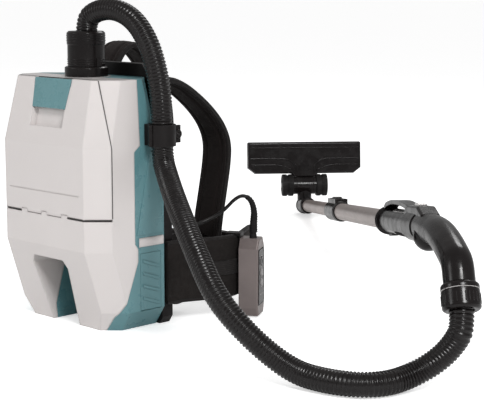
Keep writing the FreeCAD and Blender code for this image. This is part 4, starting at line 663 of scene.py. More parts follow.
class Paint:
    """Materials by finish, each built once and put on pieces and CAD nodes."""

    def __init__(self) -> None:
        """Start with none built."""
        self.made: dict[str, bpy.types.Material] = {}

    def of(self, finish: Finish) -> bpy.types.Material:
        """The material of a finish, built at its first use.

        Args:
            finish: the finish.

        Returns:
            Its material.
        """
        if finish.name not in self.made:
            self.made[finish.name] = finish.material()
        return self.made[finish.name]

    def dress(self, finish: Finish, *nodes: str) -> None:
        """Give CAD nodes a finish on their own material slots.

        Args:
            finish: the finish.
            nodes: the nodes' names.
        """
        for name in nodes:
            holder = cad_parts[name]
            if not holder.material_slots:
                holder.data.materials.append(None)
            for slot in holder.material_slots:
                slot.material = self.of(finish)
            LOG.info("dressed %s with %s", name, finish.name)


PAINT = Paint()


def metres(points: Iterable[Point]) -> list[Vector]:
    """Points given in millimetres, in metres."""
    return [Vector(point) * MM for point in points]


def spline_line(points: Sequence[Vector], detail: int = 12) -> list[Vector]:
    """The line that a NURBS spline draws from its control points.

    Args:
        points: control points in metres.
        detail: steps between two of them.

    Returns:
        The points of the line, as Blender draws it.
    """
    curve = bpy.data.curves.new("route", "CURVE")
    curve.dimensions = "3D"
    curve.resolution_u = detail
    spline = curve.splines.new("NURBS")
    spline.points.add(len(points) - 1)
    for held, point in zip(spline.points, points):
        held.co = (*point, 1.0)
    spline.order_u = 3
    spline.use_endpoint_u = True
    holder = bpy.data.objects.new("route", curve)
    drawn = bpy.data.meshes.new_from_object(holder)
    line = [vertex.co.copy() for vertex in drawn.vertices]
    bpy.data.meshes.remove(drawn)
    bpy.data.objects.remove(holder)
    bpy.data.curves.remove(curve)
    return line


class Line:
    """A line with a length, read at any place along it."""

    def __init__(self, points: Sequence[Vector], side: Vector | None = None) -> None:
        """Measure the line and carry a side direction along it.

        Args:
            points: the line's points in metres.
            side: a fixed side direction, or none for one carried without twist.
        """
        self.points = np.array([tuple(point) for point in points])
        steps = np.linalg.norm(np.diff(self.points, axis=0), axis=1)
        self.marks = np.concatenate([[0.0], np.cumsum(steps)])
        self.length = float(self.marks[-1])
        ways = np.gradient(self.points, self.marks, axis=0)
        self.ways = ways / np.linalg.norm(ways, axis=1)[:, None]
        sides = []
        last = np.array(Vector(self.ways[0]).orthogonal() if side is None else side)
        for way in self.ways:
            turned = last - way * float(np.dot(last, way))
            turned /= np.linalg.norm(turned)
            sides.append(turned)
            if side is None:
                last = turned
        self.sides = np.array(sides)

    def at(self, place: float) -> tuple[Vector, Vector, Vector, Vector]:
        """Read the line.

        Args:
            place: length along it in metres.

        Returns:
            Point, way, side and rise there.
        """
        place = min(max(place, 0.0), self.length)
        point, way, side = (
            Vector([float(np.interp(place, self.marks, table[:, axis])) for axis in range(3)])
            for table in (self.points, self.ways, self.sides))
        way.normalize()
        side = (side - way * side.dot(way)).normalized()
        return point, way, side, side.cross(way)

    def ring(self, place: float, section: Section) -> list[Vector]:
        """A section's points, across the line at a length along it."""
        point, _, side, rise = self.at(place)
        return [point + side * a + rise * b for a, b in section]


def circle(radius: float, steps: int) -> list[tuple[float, float]]:
    """A round section."""
    turns = [FULL_TURN * index / steps for index in range(steps)]
    return [(radius * math.cos(turn), radius * math.sin(turn)) for turn in turns]


def powered(value: float, power: float) -> float:
    """A value's size raised to a power, with its own sign."""
    return math.copysign(abs(value) ** power, value)


def oval(half_wide: float, half_thick: float, steps: int,
         square: float = 0.45) -> list[tuple[float, float]]:
    """A flattened section with drawn-in sides; a lower square is boxier."""
    return [(half_wide * powered(a, square), half_thick * powered(b, 0.8))
            for a, b in circle(1.0, steps)]


class Draft:
    """A mesh being drawn, in metres."""

    def __init__(self) -> None:
        """Start empty."""
        self.points: list[Vector] = []
        self.faces: list[tuple[int, ...]] = []
        self.places: list[tuple[tuple[float, float], ...]] = []

    def sheet(self, rows: Sequence[Sequence[Vector]], around: bool = False,
              size: tuple[float, float] = (1.0, 1.0), ends: bool = False) -> None:
        """Add quads through rows of points.

        Args:
            rows: rows with the same number of points.
            around: whether each row closes on itself.
            size: UV width and length of the whole sheet.
            ends: whether the first and last row are filled.
        """
        start, count = len(self.points), len(rows[0])
        spans = count if around else count - 1
        runs = len(rows) - 1
        for row in rows:
            self.points.extend(row)
        for i in range(runs):
            low, high = size[1] * i / runs, size[1] * (i + 1) / runs
            for j in range(spans):
                near, far = size[0] * j / spans, size[0] * (j + 1) / spans
                k = (j + 1) % count
                a, b = start + i * count, start + (i + 1) * count
                self.faces.append((a + j, a + k, b + k, b + j))
                self.places.append(((near, low), (far, low), (far, high), (near, high)))
        if ends:
            self.fan(start, rows[0])
            self.fan(start + runs * count, rows[-1])

    def fan(self, first: int, row: Sequence[Vector]) -> None:
        """Close a ring of points with triangles round its middle.

        Args:
            first: number of the ring's first point.
            row: the ring's points.
        """
        self.points.append(sum(row, Vector()) / len(row))
        middle = len(self.points) - 1
        for j in range(len(row)):
            self.faces.append((first + j, first + (j + 1) % len(row), middle))
            self.places.append(((0.0, 0.0), (1.0, 0.0), (0.5, 0.5)))

    def sweep(self, line: Line, section: Section, step: float,
              size: tuple[float, float] | None = None) -> None:
        """Add a closed section carried along a whole line.

        Args:
            line: the line.
            section: the section's points in metres.
            step: distance between two rows in metres.
            size: UV width and length, or none for fine threads.
        """
        count = max(2, round(line.length / step))
        rows = [line.ring(line.length * i / count, section) for i in range(count + 1)]
        self.sheet(rows, True, size or (1.0, line.length / 0.0016), True)

    def lathe(self, profile: Section, place: Matrix, steps: int = 32) -> None:
        """Add a turned form: profile holds radius and height in mm, about the place's Z."""
        rows = [[place @ Vector((a * MM, b * MM, h * MM)) for a, b in circle(r, steps)]
                for r, h in profile]
        self.sheet(rows, True, ends=True)

    def rod(self, start: Vector, stop: Vector, radius: float, steps: int = 6,
            thin: float = 1.0) -> None:
        """Add a short round rod.

        Args:
            start: its first end.
            stop: its other end.
            radius: its radius in metres.
            steps: sides of its section.
            thin: share of the radius at the other end.
        """
        line = Line([start, (start + stop) / 2, stop])
        rings = [line.ring(0.0, circle(radius, steps)),
                 line.ring(line.length, circle(radius * thin, steps))]
        self.sheet(rings, True, ends=True)

    def make(self, name: str, finish: Finish, crease: float = 40.0) -> bpy.types.Object:
        """Turn the draft into an object.

        Args:
            name: the piece's name.
            finish: its finish.
            crease: angle in degrees over which an edge stays sharp.

        Returns:
            The new object, linked to the scene.
        """
        mesh = bpy.data.meshes.new(name)
        mesh.from_pydata([tuple(point) for point in self.points], [], self.faces)
        layer = mesh.uv_layers.new(name="UVMap")
        flat = [part for face in self.places for pair in face for part in pair]
        layer.data.foreach_set("uv", flat)
        work = bmesh.new()
        work.from_mesh(mesh)
        bmesh.ops.recalc_face_normals(work, faces=work.faces)
        work.to_mesh(mesh)
        work.free()
        mesh.polygons.foreach_set("use_smooth", [True] * len(mesh.polygons))
        mesh.set_sharp_from_angle(angle=math.radians(crease))
        mesh.materials.append(PAINT.of(finish))
        made = bpy.data.objects.new(name, mesh)
        bpy.context.scene.collection.objects.link(made)
        return made


def settle(piece: bpy.types.Object, body: str, slot: str, *nodes: str) -> bpy.types.Object:
    """Put a finished piece on its body.

    Args:
        piece: the piece.
        body: the CAD body that it rides on.
        slot: the record's material slot; not used.
        nodes: CAD nodes that it stands for.

    Returns:
        The same piece.
    """
    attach(piece, body)
    if nodes:
        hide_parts(*nodes)
    LOG.info("piece %s on %s", piece.name, body)
    return piece


def star_screw(draft: Draft, place: Matrix, radius: float) -> None:
    """Add a pan-head screw with a star recess.

    Args:
        draft: where it is drawn.
        place: the screw's own frame, in metres.
        radius: head radius in mm.
    """
    rows = []
    for share, height, star in ((1.0, -0.6, 0), (1.0, 0.5, 0), (0.82, 1.1, 0), (0.5, 1.3, 0),
                                (0.46, 1.3, 1), (0.42, 0.3, 1)):
        row = []
        for index in range(24):
            angle = FULL_TURN * index / 24
            lobe = 1 - 0.22 * star * (0.5 + 0.5 * math.cos(6 * angle))
            reach = radius * share * lobe
            spot = Vector((reach * math.cos(angle), reach * math.sin(angle), height))
            row.append(place @ (spot * MM))
        rows.append(row)
    draft.sheet(rows, True, ends=True)


def stitch_rows(draft: Draft, line: Line, offsets: Section, pitch: float) -> None:
    """Add rows of sewn stitches along a line.

    Args:
        draft: where they are drawn.
        line: the line that they follow.
        offsets: side and rise of each row, in mm.
        pitch: distance from one stitch to the next, in mm.
    """
    skip, stitch, radius = 8.0, 0.62, 0.42
    count = int((line.length / MM - 2 * skip) / pitch)
    for side_off, rise_off in offsets:
        for index in range(count):
            start = (skip + index * pitch) * MM
            ends = []
            for place in (start, start + stitch * pitch * MM):
                point, _, side, rise = line.at(place)
                ends.append(point + side * side_off * MM + rise * rise_off * MM)
            draft.rod(ends[0], ends[1], radius * MM, 5)


def puffed(piece: bpy.types.Object, voxel: float, pressure: float, cap: float,
           keep: Callable[[Vector], Vector], frames: int = 20) -> None:
    """Swell a closed piece like a stuffed case, by cloth simulation.

    Args:
        piece: the piece, whose mesh is replaced by the swollen one.
        voxel: remesh size in metres.
        pressure: pressure inside.
        cap: the most that a point may move, in metres.
        keep: holds a point inside the room that the piece has.
        frames: steps of the simulation.
    """
    trial = bpy.data.objects.new("trial", piece.data.copy())
    scene = bpy.context.scene
    scene.collection.objects.link(trial)
    remesh = trial.modifiers.new("remesh", "REMESH")
    remesh.mode = "VOXEL"
    remesh.voxel_size = voxel
    graph = bpy.context.evaluated_depsgraph_get()
    even = bpy.data.meshes.new_from_object(trial.evaluated_get(graph))
    trial.modifiers.clear()
    trial.data = even
    before = [vertex.co.copy() for vertex in even.vertices]
    cloth = trial.modifiers.new("cloth", "CLOTH")
    cloth.settings.use_pressure = True
    cloth.settings.uniform_pressure_force = pressure
    cloth.settings.effector_weights.gravity = 0.0
    cloth.settings.quality = 5
    for step in range(1, frames + 1):
        scene.frame_set(step)
    graph = bpy.context.evaluated_depsgraph_get()
    swollen = bpy.data.meshes.new_from_object(trial.evaluated_get(graph))
    scene.frame_set(1)
    for start, vertex in zip(before, swollen.vertices):
        move = vertex.co - start
        if move.length > cap:
            move *= cap / move.length
        vertex.co = keep(start + move)
    swollen.polygons.foreach_set("use_smooth", [True] * len(swollen.polygons))
    swollen.materials.clear()
    swollen.materials.append(piece.data.materials[0])
    bpy.data.objects.remove(trial)
    piece.data = swollen
    piece.modifiers.new("soft", "SUBSURF").render_levels = 1


@dataclass
class Studio:
    """Camera, pale floor, soft lamps and a plain pale surround."""

    camera_at: Point = (1817.3, -1519.0, 550.9)
    azimuth: float = 45.0
    elevation: float = 8.7
    lens: float = 104.88
    sensor: float = 36.0
    clip: tuple[float, float] = (0.01, 200.0)
    floor_half: float = 40.0
    floor_level: float = -0.0002
    floor_glow: float = 0.50
    lamps: tuple = (
        ("key_lamp", (3.2, -1.5, 2.7), 1.1, 92.0),
        ("fill_lamp", (-1.6, -3.2, 1.9), 1.4, 22.0),
        ("back_lamp", (-0.6, 3.0, 3.2), 1.6, 34.0),
    )
    aim: Point = (0.2, 0.1, 0.25)
    surround: float = 0.52
    surround_less_in_gloss: float = 0.16

    def set_camera(self) -> None:
        """Place the camera at the photograph's angle."""
        data = bpy.data.cameras.new("camera")
        data.lens = self.lens
        data.sensor_width = self.sensor
        data.clip_start, data.clip_end = self.clip
        holder = bpy.data.objects.new("camera", data)
        azimuth, elevation = math.radians(self.azimuth), math.radians(self.elevation)
        back = Vector((math.sin(azimuth) * math.cos(elevation),
                       -math.cos(azimuth) * math.cos(elevation), math.sin(elevation)))
        holder.location = Vector(self.camera_at) * MM
        holder.rotation_mode = "QUATERNION"
        holder.rotation_quaternion = (-back).to_track_quat("-Z", "Y")
        bpy.context.scene.collection.objects.link(holder)
        bpy.context.scene.camera = holder

    def lay_floor(self) -> None:
        """Lay a plain pale floor that keeps the object's shadow."""
        ends = (-self.floor_half, self.floor_half)
        draft = Draft()
        draft.sheet([[Vector((x, y, self.floor_level)) for x in ends] for y in ends])
        floor = draft.make("floor", PLAIN_FLOOR)
        sheet = NodeSheet(floor.data.materials[0].node_tree)
        shader = next(n for n in sheet.tree.nodes if n.type == "BSDF_PRINCIPLED")
        seen = sheet.add("ShaderNodeLightPath").outputs["Is Camera Ray"]
        glow = sheet.calc("MULTIPLY", seen, self.floor_glow)
        sheet.tree.links.new(glow, shader.inputs["Emission Strength"])
        shader.inputs["Emission Color"].default_value = WHITE
        floor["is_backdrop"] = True

    def light(self) -> None:
        """Hang soft lamps and a surround that is white where the camera or glass sees it."""
        for name, place, size, power in self.lamps:
            data = bpy.data.lights.new(name, "AREA")
            data.shape = "DISK"
            data.size = size
            data.energy = power
            lamp = bpy.data.objects.new(name, data)
            lamp.location = place
            lamp.rotation_mode = "QUATERNION"
            toward = Vector(self.aim) - Vector(place)
            lamp.rotation_quaternion = toward.to_track_quat("-Z", "Y")
            bpy.context.scene.collection.objects.link(lamp)
        world = bpy.data.worlds.new("surround")
        world.use_nodes = True
        bpy.context.scene.world = world
        sheet = NodeSheet(world.node_tree)
        paths = sheet.add("ShaderNodeLightPath").outputs
        direct = sheet.calc("MAXIMUM", paths["Is Camera Ray"], paths["Is Transmission Ray"])
        level = sheet.calc("MAXIMUM", direct, self.surround)
        less = sheet.calc("MULTIPLY", paths["Is Glossy Ray"], self.surround_less_in_gloss)
        backdrop = next(n for n in sheet.tree.nodes if n.type == "BACKGROUND")
        backdrop.inputs[0].default_value = WHITE
        sheet.tree.links.new(sheet.calc("SUBTRACT", level, less), backdrop.inputs[1])
        bpy.context.scene.view_settings.view_transform = "Standard"


@dataclass
class SuctionHose:
    """Ribbed hose from the inlet over to the clip, down to the floor and up to the handle."""

    crest: float = 17.5
    valley: float = 16.0
    pitch: float = 5.5
    real_length: float = 1.2072
    steps: int = 32
    route: tuple[Point, ...] = (
        (0, -62, 445), (0, -62, 492), (19, -59, 509), (60, -53, 515), (103, -47, 499),
        (134, -43, 461), (150, -40, 415), (159, -39.5, 370), (159, -39.5, 279), (190, -56, 254),
        (243, -91, 232), (302, -124, 201), (360, -150, 160), (412, -167, 116), (458, -160, 76),
        (497, -140, 40), (534, -126, 20), (574, -122, 18), (606, -115, 18), (632, -100, 18),
        (648, -74, 18), (652, -44, 19), (664, -18, 28), (684, -3, 46), (700, 7, 68),
        (712.923, 9.882, 93.695), (695.171, 24.521, 138.086),
    )
    rib: Section = ((0.0, 0.0), (0.22, 0.0), (0.34, 0.8), (0.46, 1.0), (0.66, 1.0), (0.78, 0.8))

    def build(self) -> None:
        points = spline_line(metres(self.route))
        line = Line(points)
        count = round(line.length / MM / self.pitch)
        step = line.length / count
        rows = []
        for index in range(count):
            for place, rise in self.rib:
                radius = self.valley + (self.crest - self.valley) * rise
                rows.append(line.ring((index + place) * step, circle(radius * MM, self.steps)))
        rows.append(line.ring(line.length, circle(self.valley * MM, self.steps)))
        draft = Draft()
        draft.sheet(rows, True, (1.0, line.length / 0.002), True)
        hose = settle(draft.make("ribbed_suction_hose", HOSE_BLACK, 60.0), "unit", "hose_black",
                      "suction_hose")


@dataclass
class ControlCable:
    """Cable from the control box over the belt into the back plate, with its tapered boot."""

    radius: float = 3.0
    real_length: float = 0.2326
    route: tuple[Point, ...] = (
        (185, 140, 133), (185, 140, 153), (186, 142, 177), (182, 138, 197), (171, 130, 205),
        (159, 121, 197), (148, 112, 181), (137, 101, 169), (125, 84, 160), (122, 66, 155),
        (116, 46, 151), (116, 30, 150), (116, 12, 150),
    )
    boot_start: float = 9.0
    boot_length: float = 74.0
    boot_low: float = 7.4
    boot_high: float = 4.3
    boot_rings: int = 15
    flex_ring: Section = ((0.05, 0.0), (0.3, 0.0), (0.36, -0.7), (0.94, -0.7))

    def build(self) -> None:
        points = spline_line(metres(self.route))
        line = Line(points)
        draft = Draft()
        draft.sweep(line, circle(self.radius * MM, 16), 0.003)
        cable = settle(draft.make("control_cable_jacket", CABLE_BLACK), "unit", "cable_black",
                       "control_cable")
        boot = self.boot(line)
        PAINT.dress(SOFT_RUBBER, "cable_gland")

    def boot(self, line: Line) -> bpy.types.Object:
        """Make the long tapered boot with its flex rings.

        Args:
            line: the cable's line.

        Returns:
            The boot.
        """
        rows = []
        span = (self.boot_length - self.boot_start) / self.boot_rings
        for index in range(self.boot_rings):
            radius = self.boot_low + (self.boot_high - self.boot_low) * index / self.boot_rings
            for place, rise in self.flex_ring:
                spot = (self.boot_start + (index + place) * span) * MM
                rows.append(line.ring(spot, circle((radius + rise) * MM, 20)))
        rows.append(line.ring(self.boot_length * MM, circle((self.radius + 0.05) * MM, 20)))
        draft = Draft()
        draft.sheet(rows, True, (1.0, 20.0), True)
        return settle(draft.make("control_cable_boot", SOFT_RUBBER), "unit", "cable_black")


@dataclass
class BodyShell:
    """White front, teal rear housing, cover, latch and battery covers, with painted seam shadow
    and painted highlight bands.
    """

    seam: tuple[Point, ...] = ((134.0, -122.0, 189), (134.0, -122.0, 230), (134.0, -122.0, 299.5),
                               (118.9, -122.0, 351.5), (103.7, -122.0, 403.6))
    foot: tuple[Point, ...] = ((62.0, -154.4, 186.8), (101.8, -154.4, 186.8),
                               (133.9, -122.6, 186.8))
    deck: tuple[Point, ...] = ((-102.0, -122.0, 403.9), (0.0, -122.0, 403.9),
                               (102.0, -122.0, 403.9))
    shadow_line_radius: float = 0.8
    deck_shadow_line_radius: float = 0.7
    band_stations: tuple[float, ...] = (-69.2, -60, -50, -40, -30, -17)
    band: Section = ((134.6, 136.4), (135.6, 136.8), (136.0, 138.2), (136.0, 148.4),
                     (135.4, 150.8), (134.6, 151.5))
    slat_count: int = 9
    slat_first: float = -118.0
    slat_pitch: float = 9.0
    slat_stations: tuple[float, ...] = (-26, -9, 9, 26)
    roof: float = 112.0

    def build(self) -> None:
        """Dress the shells and add their trim."""
        PAINT.dress(WHITE_SHELL, "front_shell", "front_cover")
        PAINT.dress(TEAL_SHELL, "rear_housing", "battery_cover_right", "battery_cover_left")
        PAINT.dress(TEAL_LATCH, "cover_latch")
        PAINT.dress(STEEL_PIN, "cover_hinge_pin")
        self.painted_seam_shadow()
        for side in Side:
            self.painted_highlight_band(side)
        self.exhaust_grille()

    def painted_seam_shadow(self) -> None:
        """A dark strip in the cover's seam and along its foot: painted shadow of the seam gap."""
        draft = Draft()
        for side in Side:
            for run in (self.seam, self.foot):
                points = metres((side.value * x, y, z) for x, y, z in run)
                draft.sweep(Line(points), circle(self.shadow_line_radius * MM, 8), 0.006)
        draft.sweep(Line(metres(self.deck)), circle(self.deck_shadow_line_radius * MM, 8), 0.01)
        # The dark strip is painted seam shadow.
        settle(draft.make("front_cover_seam_shadow", SEAM_SHADOW_GREY), "front_cover", "black_matt")

    def painted_highlight_band(self, side: Side) -> None:
        """A pale strip on the raised band between the side's two teal panels: painted highlight
        where the band catches the light.

        Args:
            side: which side.
        """
        rows = [metres((side.value * x, y, z) for x, z in self.band) for y in self.band_stations]
        draft = Draft()
        draft.sheet(rows, True, (1.0, 8.0), True)
        # Pale strip in the shell's white: painted highlight on the band.
        settle(draft.make("side_band_highlight_" + side.word, WHITE_SHELL), "unit", "shell_white")

    def exhaust_grille(self) -> None:
        """Slats of the exhaust in the arch's roof."""
        draft = Draft()
        for index in range(self.slat_count):
            y = self.slat_first + index * self.slat_pitch
            run = metres((x, y, self.roof) for x in self.slat_stations)
            draft.sweep(Line(run), oval(0.0021, 0.0011, 10), 0.006)
        settle(draft.make("exhaust_slats", BLACK_GRAINED), "unit", "black_matt")


@dataclass
class AirPath:
    """Inlet, hose cuff, dust bag, filter, motor, fan, board and batteries."""

    inlet: tuple[float, float] = (0.0, -62.0)
    lower_rings: tuple[float, ...] = (424.5, 428.0, 431.5)
    lower_radius: float = 30.6
    upper_rings: tuple[float, ...] = (462.0, 466.0, 470.0)
    upper_radius: float = 31.6
    grip: Section = ((-0.8, -1.0), (0.15, -0.8), (0.55, 0.0), (0.15, 0.8), (-0.8, 1.0))
    bag_half: float = 96.0
    bag_front: float = 112.0
    bag_rear: float = 32.0
    bag_low: float = 208.0
    bag_high: float = 379.0
    bag_rows: int = 24
    neck_from: float = 0.72
    neck_loss: float = 0.32
    seam_depth: float = 0.16
    seam_opening: float = 2.6
    ruck: float = 0.025
    fine_ruck: float = 0.02

    def build(self) -> None:
        """Dress the inner nodes and make the bag."""
        PAINT.dress(BLACK_GLOSS, "inlet_flange", "hose_cuff")
        PAINT.dress(COLLAR_CARD, "bag_collar")
        PAINT.dress(BLACK_GRAINED, "filter_frame", "impeller")
        PAINT.dress(FILTER_PAPER, "hepa_filter")
        PAINT.dress(MOTOR_CAST, "motor_housing")
        PAINT.dress(SOFT_RUBBER, "motor_mount")
        PAINT.dress(BOARD_GREEN, "circuit_board")
        PAINT.dress(BATTERY_CASE, "battery_right", "battery_left")
        self.cuff_rings()
        self.bag()

    def cuff_rings(self) -> None:
        """Grip rings round the hose cuff and its rolled lip."""
        draft = Draft()
        for radius, heights in ((self.lower_radius, self.lower_rings),
                                (self.upper_radius, self.upper_rings)):
            for height in heights:
                place = Matrix.Translation(Vector((*self.inlet, height)) * MM)
                draft.lathe([(radius + r, h) for r, h in self.grip], place, 48)
        settle(draft.make("hose_cuff_rings", BLACK_GLOSS), "hose_cuff", "black_moulding")

    def bag(self) -> None:
        """The fleece bag, swollen between its flat seams."""
        rows = []
        middle = -(self.bag_front + self.bag_rear) / 2
        depth = (self.bag_front - self.bag_rear) / 2
        for index in range(self.bag_rows + 1):
            share = index / self.bag_rows
            opened = self.seam_depth + self.seam_opening * min(share, 1 - share)
            pinch = min(1.0, opened) ** 0.6
            necked = max(0.0, (share - self.neck_from) / (1 - self.neck_from)) ** 1.5
            narrow = 1 - self.neck_loss * necked
            height = (self.bag_low + (self.bag_high - self.bag_low) * share) * MM
            row = []
            outline = oval(self.bag_half * narrow * MM, depth * pinch * MM, 56, 0.5)
            for k, (a, b) in enumerate(outline):
                ruck = (self.ruck * math.sin(9 * math.pi * share + k * 0.9)
                        + self.fine_ruck * math.sin(k * 1.7))
                row.append(Vector((a * (1 + ruck * 0.3), middle * MM + b * min(1 + ruck, 1.0),
                                   height)))
            rows.append(row)
        draft = Draft()
        draft.sheet(rows, True, ends=True)
        piece = draft.make("fleece_dust_bag", BAG_FLEECE)
        puffed(piece, voxel=0.006, pressure=3.0, cap=0.004, keep=self.inside)
        settle(piece, "unit", "bag_paper", "dust_bag")

    def inside(self, point: Vector) -> Vector:
        """Hold a bag point inside the dust compartment.

        Args:
            point: the point in metres.

        Returns:
            The point, moved in where it was out.
        """
        low = (-self.bag_half, -self.bag_front, self.bag_low)
        high = (self.bag_half, -self.bag_rear, self.bag_high)
        return Vector([min(max(part, a * MM), b * MM) for part, a, b in zip(point, low, high)])


@dataclass(frozen=True)
class Cushion:
    """A padded band: crowned, drawn in at its edges, with sewn channels and soft wrinkles."""

    half_wide: float
    half_thick: float
    channels: tuple[float, ...]
    quilt: float
    seed: float
    step: float = 4.0
    end_run: float = 9.0
    end_share: float = 0.72
    seam_reach: float = 2.2
    seam_sink: float = 0.42
    ruck_scale: float = 38.0
    ruck: float = 0.9
    fine_ruck: float = 0.5
    fold_run: float = 13.0

    def draw(self, draft: Draft, line: Line) -> None:
        """Add the cushion.

        Args:
            draft: where it is drawn.
            line: its middle line.
        """
        count = round(line.length / (self.step * MM))
        rows = []
        for i in range(count + 1):
            place = line.length * i / count
            end = min(place, line.length - place) / MM
            close = self.end_share + (1 - self.end_share) * min(1.0, end / self.end_run)
            rows.append(self.row(line, place, close))
        draft.sheet(rows, True, (1.0, line.length / 0.002), True)

    def row(self, line: Line, place: float, close: float) -> list[Vector]:
        """One row of points round the band.

        Args:
            line: its middle line.
            place: length along it in metres.
            close: share of the full thickness there.

        Returns:
            The row's points.
        """
        made = []
        point, _, side, rise = line.at(place)
        for a, b in oval(self.half_wide, self.half_thick, 72, 0.5):
            dip = sum(math.exp(-((a - channel) / self.seam_reach) ** 2)
                      for channel in self.channels)
            flat = abs(b) / self.half_thick
            spot = point * self.ruck_scale + side * a * 0.06 + Vector((self.seed, 0, 0))
            ruck = noise.noise(spot) * self.ruck + noise.noise(spot * 2.7) * self.fine_ruck
            fold = self.quilt * math.sin(place / MM / self.fold_run + a * 0.05 + self.seed)
            up = (b * close * (1 - self.seam_sink * min(1.0, dip) * flat)
                  + math.copysign(flat, b) * min(0.0, ruck + fold))
            wide = a * (0.985 + 0.012 * noise.noise(spot * 0.7))
            made.append(point + side * wide * MM + rise * up * MM)
        return made


@dataclass
class Harness:
    """Back plate, pad, shoulder straps, hip belt, webbing, adjusters and buckle."""

    strap_x: float = 74.0
    strap_wide: float = 64.0
    strap_thick: float = 14.0
    strap_channels: tuple[float, ...] = (-19.0, 19.0)
    strap_edges: tuple[float, ...] = (-27.0, 27.0)
    belt_tall: float = 104.0
    belt_thick: float = 14.0
    belt_channels: tuple[float, ...] = (-24.0, 24.0)
    belt_mid: float = 86.0
    inset: float = 0.8
    stitch_rise: float = 0.60
    edge_rise: float = 4.7
    web_half: float = 12.3
    web_thick: float = 1.15
    selvedge: float = 1.35
    weave_run: float = 0.0017
    tape_run: float = 0.0012
    strap_routes: dict[Side, Section] = field(default_factory=lambda: {
        Side.RIGHT: ((12, 398), (34, 398), (62, 388), (96, 366), (128, 340), (152, 312),
                     (164, 282), (162, 250), (156, 218), (149, 184), (142, 152), (138, 122)),
        Side.LEFT: ((12, 402), (28, 402), (43, 419), (57, 440), (80, 452), (106, 440),
                    (130, 416), (148, 384), (160, 350), (165, 314), (165, 278), (160, 242),
                    (154, 206), (147, 170), (141, 136), (138, 118)),
    })
    tail_route: Section = ((118, 62), (98, 34), (72, 17), (46, 17), (28, 33), (12, 33))
    belt_plan: Section = ((133.2, -9), (134.2, 16), (145, 44), (157, 74), (163, 102), (158, 128),
                          (145, 152), (128, 178), (114, 202))
    buckle_plan: Section = ((92, 244), (66, 264), (36, 264))
    sleeve: Section = ((-12.3, -0.5), (-12.3, 0.8), (-11, 1.2), (0, 1.0), (11, 1.2),
                       (12.3, 0.8), (12.3, -0.5), (0, -0.6))
    sleeve_from: float = 0.30
    sleeve_to: float = 0.985
    sleeve_rows: int = 40
    sleeve_lift: float = 0.6
    sleeve_wave: float = 0.25
    loops: tuple[float, ...] = (0.36, 0.62, 0.88)
    loop_half: float = 15.0
    loop_rise: float = 2.1
    loop_turns: int = 32
    pad_rows: tuple[Point, ...] = ((62.0, 213.0, 107.0), (227.0, 378.0, 92.0))
    pillow: Section = ((12.6, 0.93), (15.0, 0.985), (18.5, 1.0), (22.5, 0.97), (26.0, 0.88),
                       (28.0, 0.7), (28.8, 0.4), (29.0, 0.1))
    pillow_taper: float = 0.12
    pad_ring: Section = ((98, 60), (108, 75), (108, 260), (86, 363), (74, 379), (-74, 379),
                         (-86, 363), (-108, 260), (-108, 75), (-98, 60))
    pad_middle: float = 219.5
    screw_places: Section = ((-116, 30), (116, 30), (-116, 200), (116, 200), (-93, 385),
                             (93, 385))
    screw_radius: float = 3.6
    plate_face: float = 12.0

    def build(self) -> None:
        """Make every soft piece and dress the hard ones."""
        PAINT.dress(BLACK_GRAINED, "back_plate")
        PAINT.dress(BLACK_GLOSS, "strap_adjuster_right", "strap_adjuster_left", "buckle_socket",
                    "buckle_plug")
        self.back_pad()
        for side in Side:
            self.shoulder_strap(side)
            self.lower_webbing(side)
            self.belt_wing(side)
            self.belt_webbing(side)
        self.plate_screws()

    def binding(self, name: str, line: Line, middle: float, half_wide: float) -> None:
        """Bind both edges of a padded band with tape.

        Args:
            name: the piece's name.
            line: the band's middle line.
            middle: distance from that line to the tape's middle, in mm.
            half_wide: half the tape's width over the edge, in metres.
        """
        tape = Draft()
        for edge in (-1, 1):
            section = [(edge * middle * MM + a, b) for a, b in oval(half_wide, 0.0042, 14, 0.6)]
            tape.sweep(line, section, 0.005, (1.0, line.length / self.tape_run))
        settle(tape.make(name, BINDING, 70.0), "unit", "webbing_black")

    def shoulder_strap(self, side: Side) -> None:
        """One padded shoulder strap with its bound edges, sewn channels and stitching.

        Args:
            side: which side.
        """
        x = side.value * self.strap_x
        route = metres((x, y, z) for y, z in self.strap_routes[side])
        line = Line(spline_line(route), Vector((1, 0, 0)))
        half = self.strap_wide / 2 - self.inset
        draft = Draft()
        Cushion(half, self.strap_thick / 2, self.strap_channels, quilt=0.55,
                seed=3.0 * side.value).draw(draft, line)
        strap = settle(draft.make("shoulder_strap_pad_" + side.word, STRAP_FABRIC, 80.0), "unit",
                       "fabric_black", "shoulder_strap_" + side.word)
        self.binding("shoulder_strap_binding_" + side.word, line, middle=half - 1.8,
                     half_wide=0.0034)
        thread = Draft()
        rise = self.strap_thick / 2 * self.stitch_rise
        for offsets, height, pitch in ((self.strap_channels, rise, 5.0),
                                       (self.strap_edges, self.edge_rise, 4.4)):
            stitch_rows(thread, line, [(o, r) for o in offsets for r in (height, -height)],
                        pitch)
        settle(thread.make("shoulder_strap_stitching_" + side.word, THREAD), "unit",
               "fabric_black")

    def band(self, name: str, points: Sequence[Point], across: Vector, node: str) -> None:
        """A flat woven band with thick selvedges, along a smooth line.

        Args:
            name: the piece's name.
            points: control points in mm.
            across: the band's width direction.
            node: the CAD node that it stands for.
        """
        line = Line(spline_line(metres(points)), across)
        half, thick, edge = self.web_half, self.web_thick, self.selvedge
        top = [(-half, 0.9), (-half + 1.2, edge), (-half + 2.4, thick), (0, thick),
               (half - 2.4, thick), (half - 1.2, edge), (half, 0.9)]
        section = [(a * MM, b * MM) for a, b in top] + [(a * MM, -b * MM) for a, b in top[::-1]]
        draft = Draft()
        draft.sweep(line, section, 0.004, (2.0, line.length / self.weave_run))
        settle(draft.make(name, WEBBING, 70.0), "unit", "webbing_black", node)

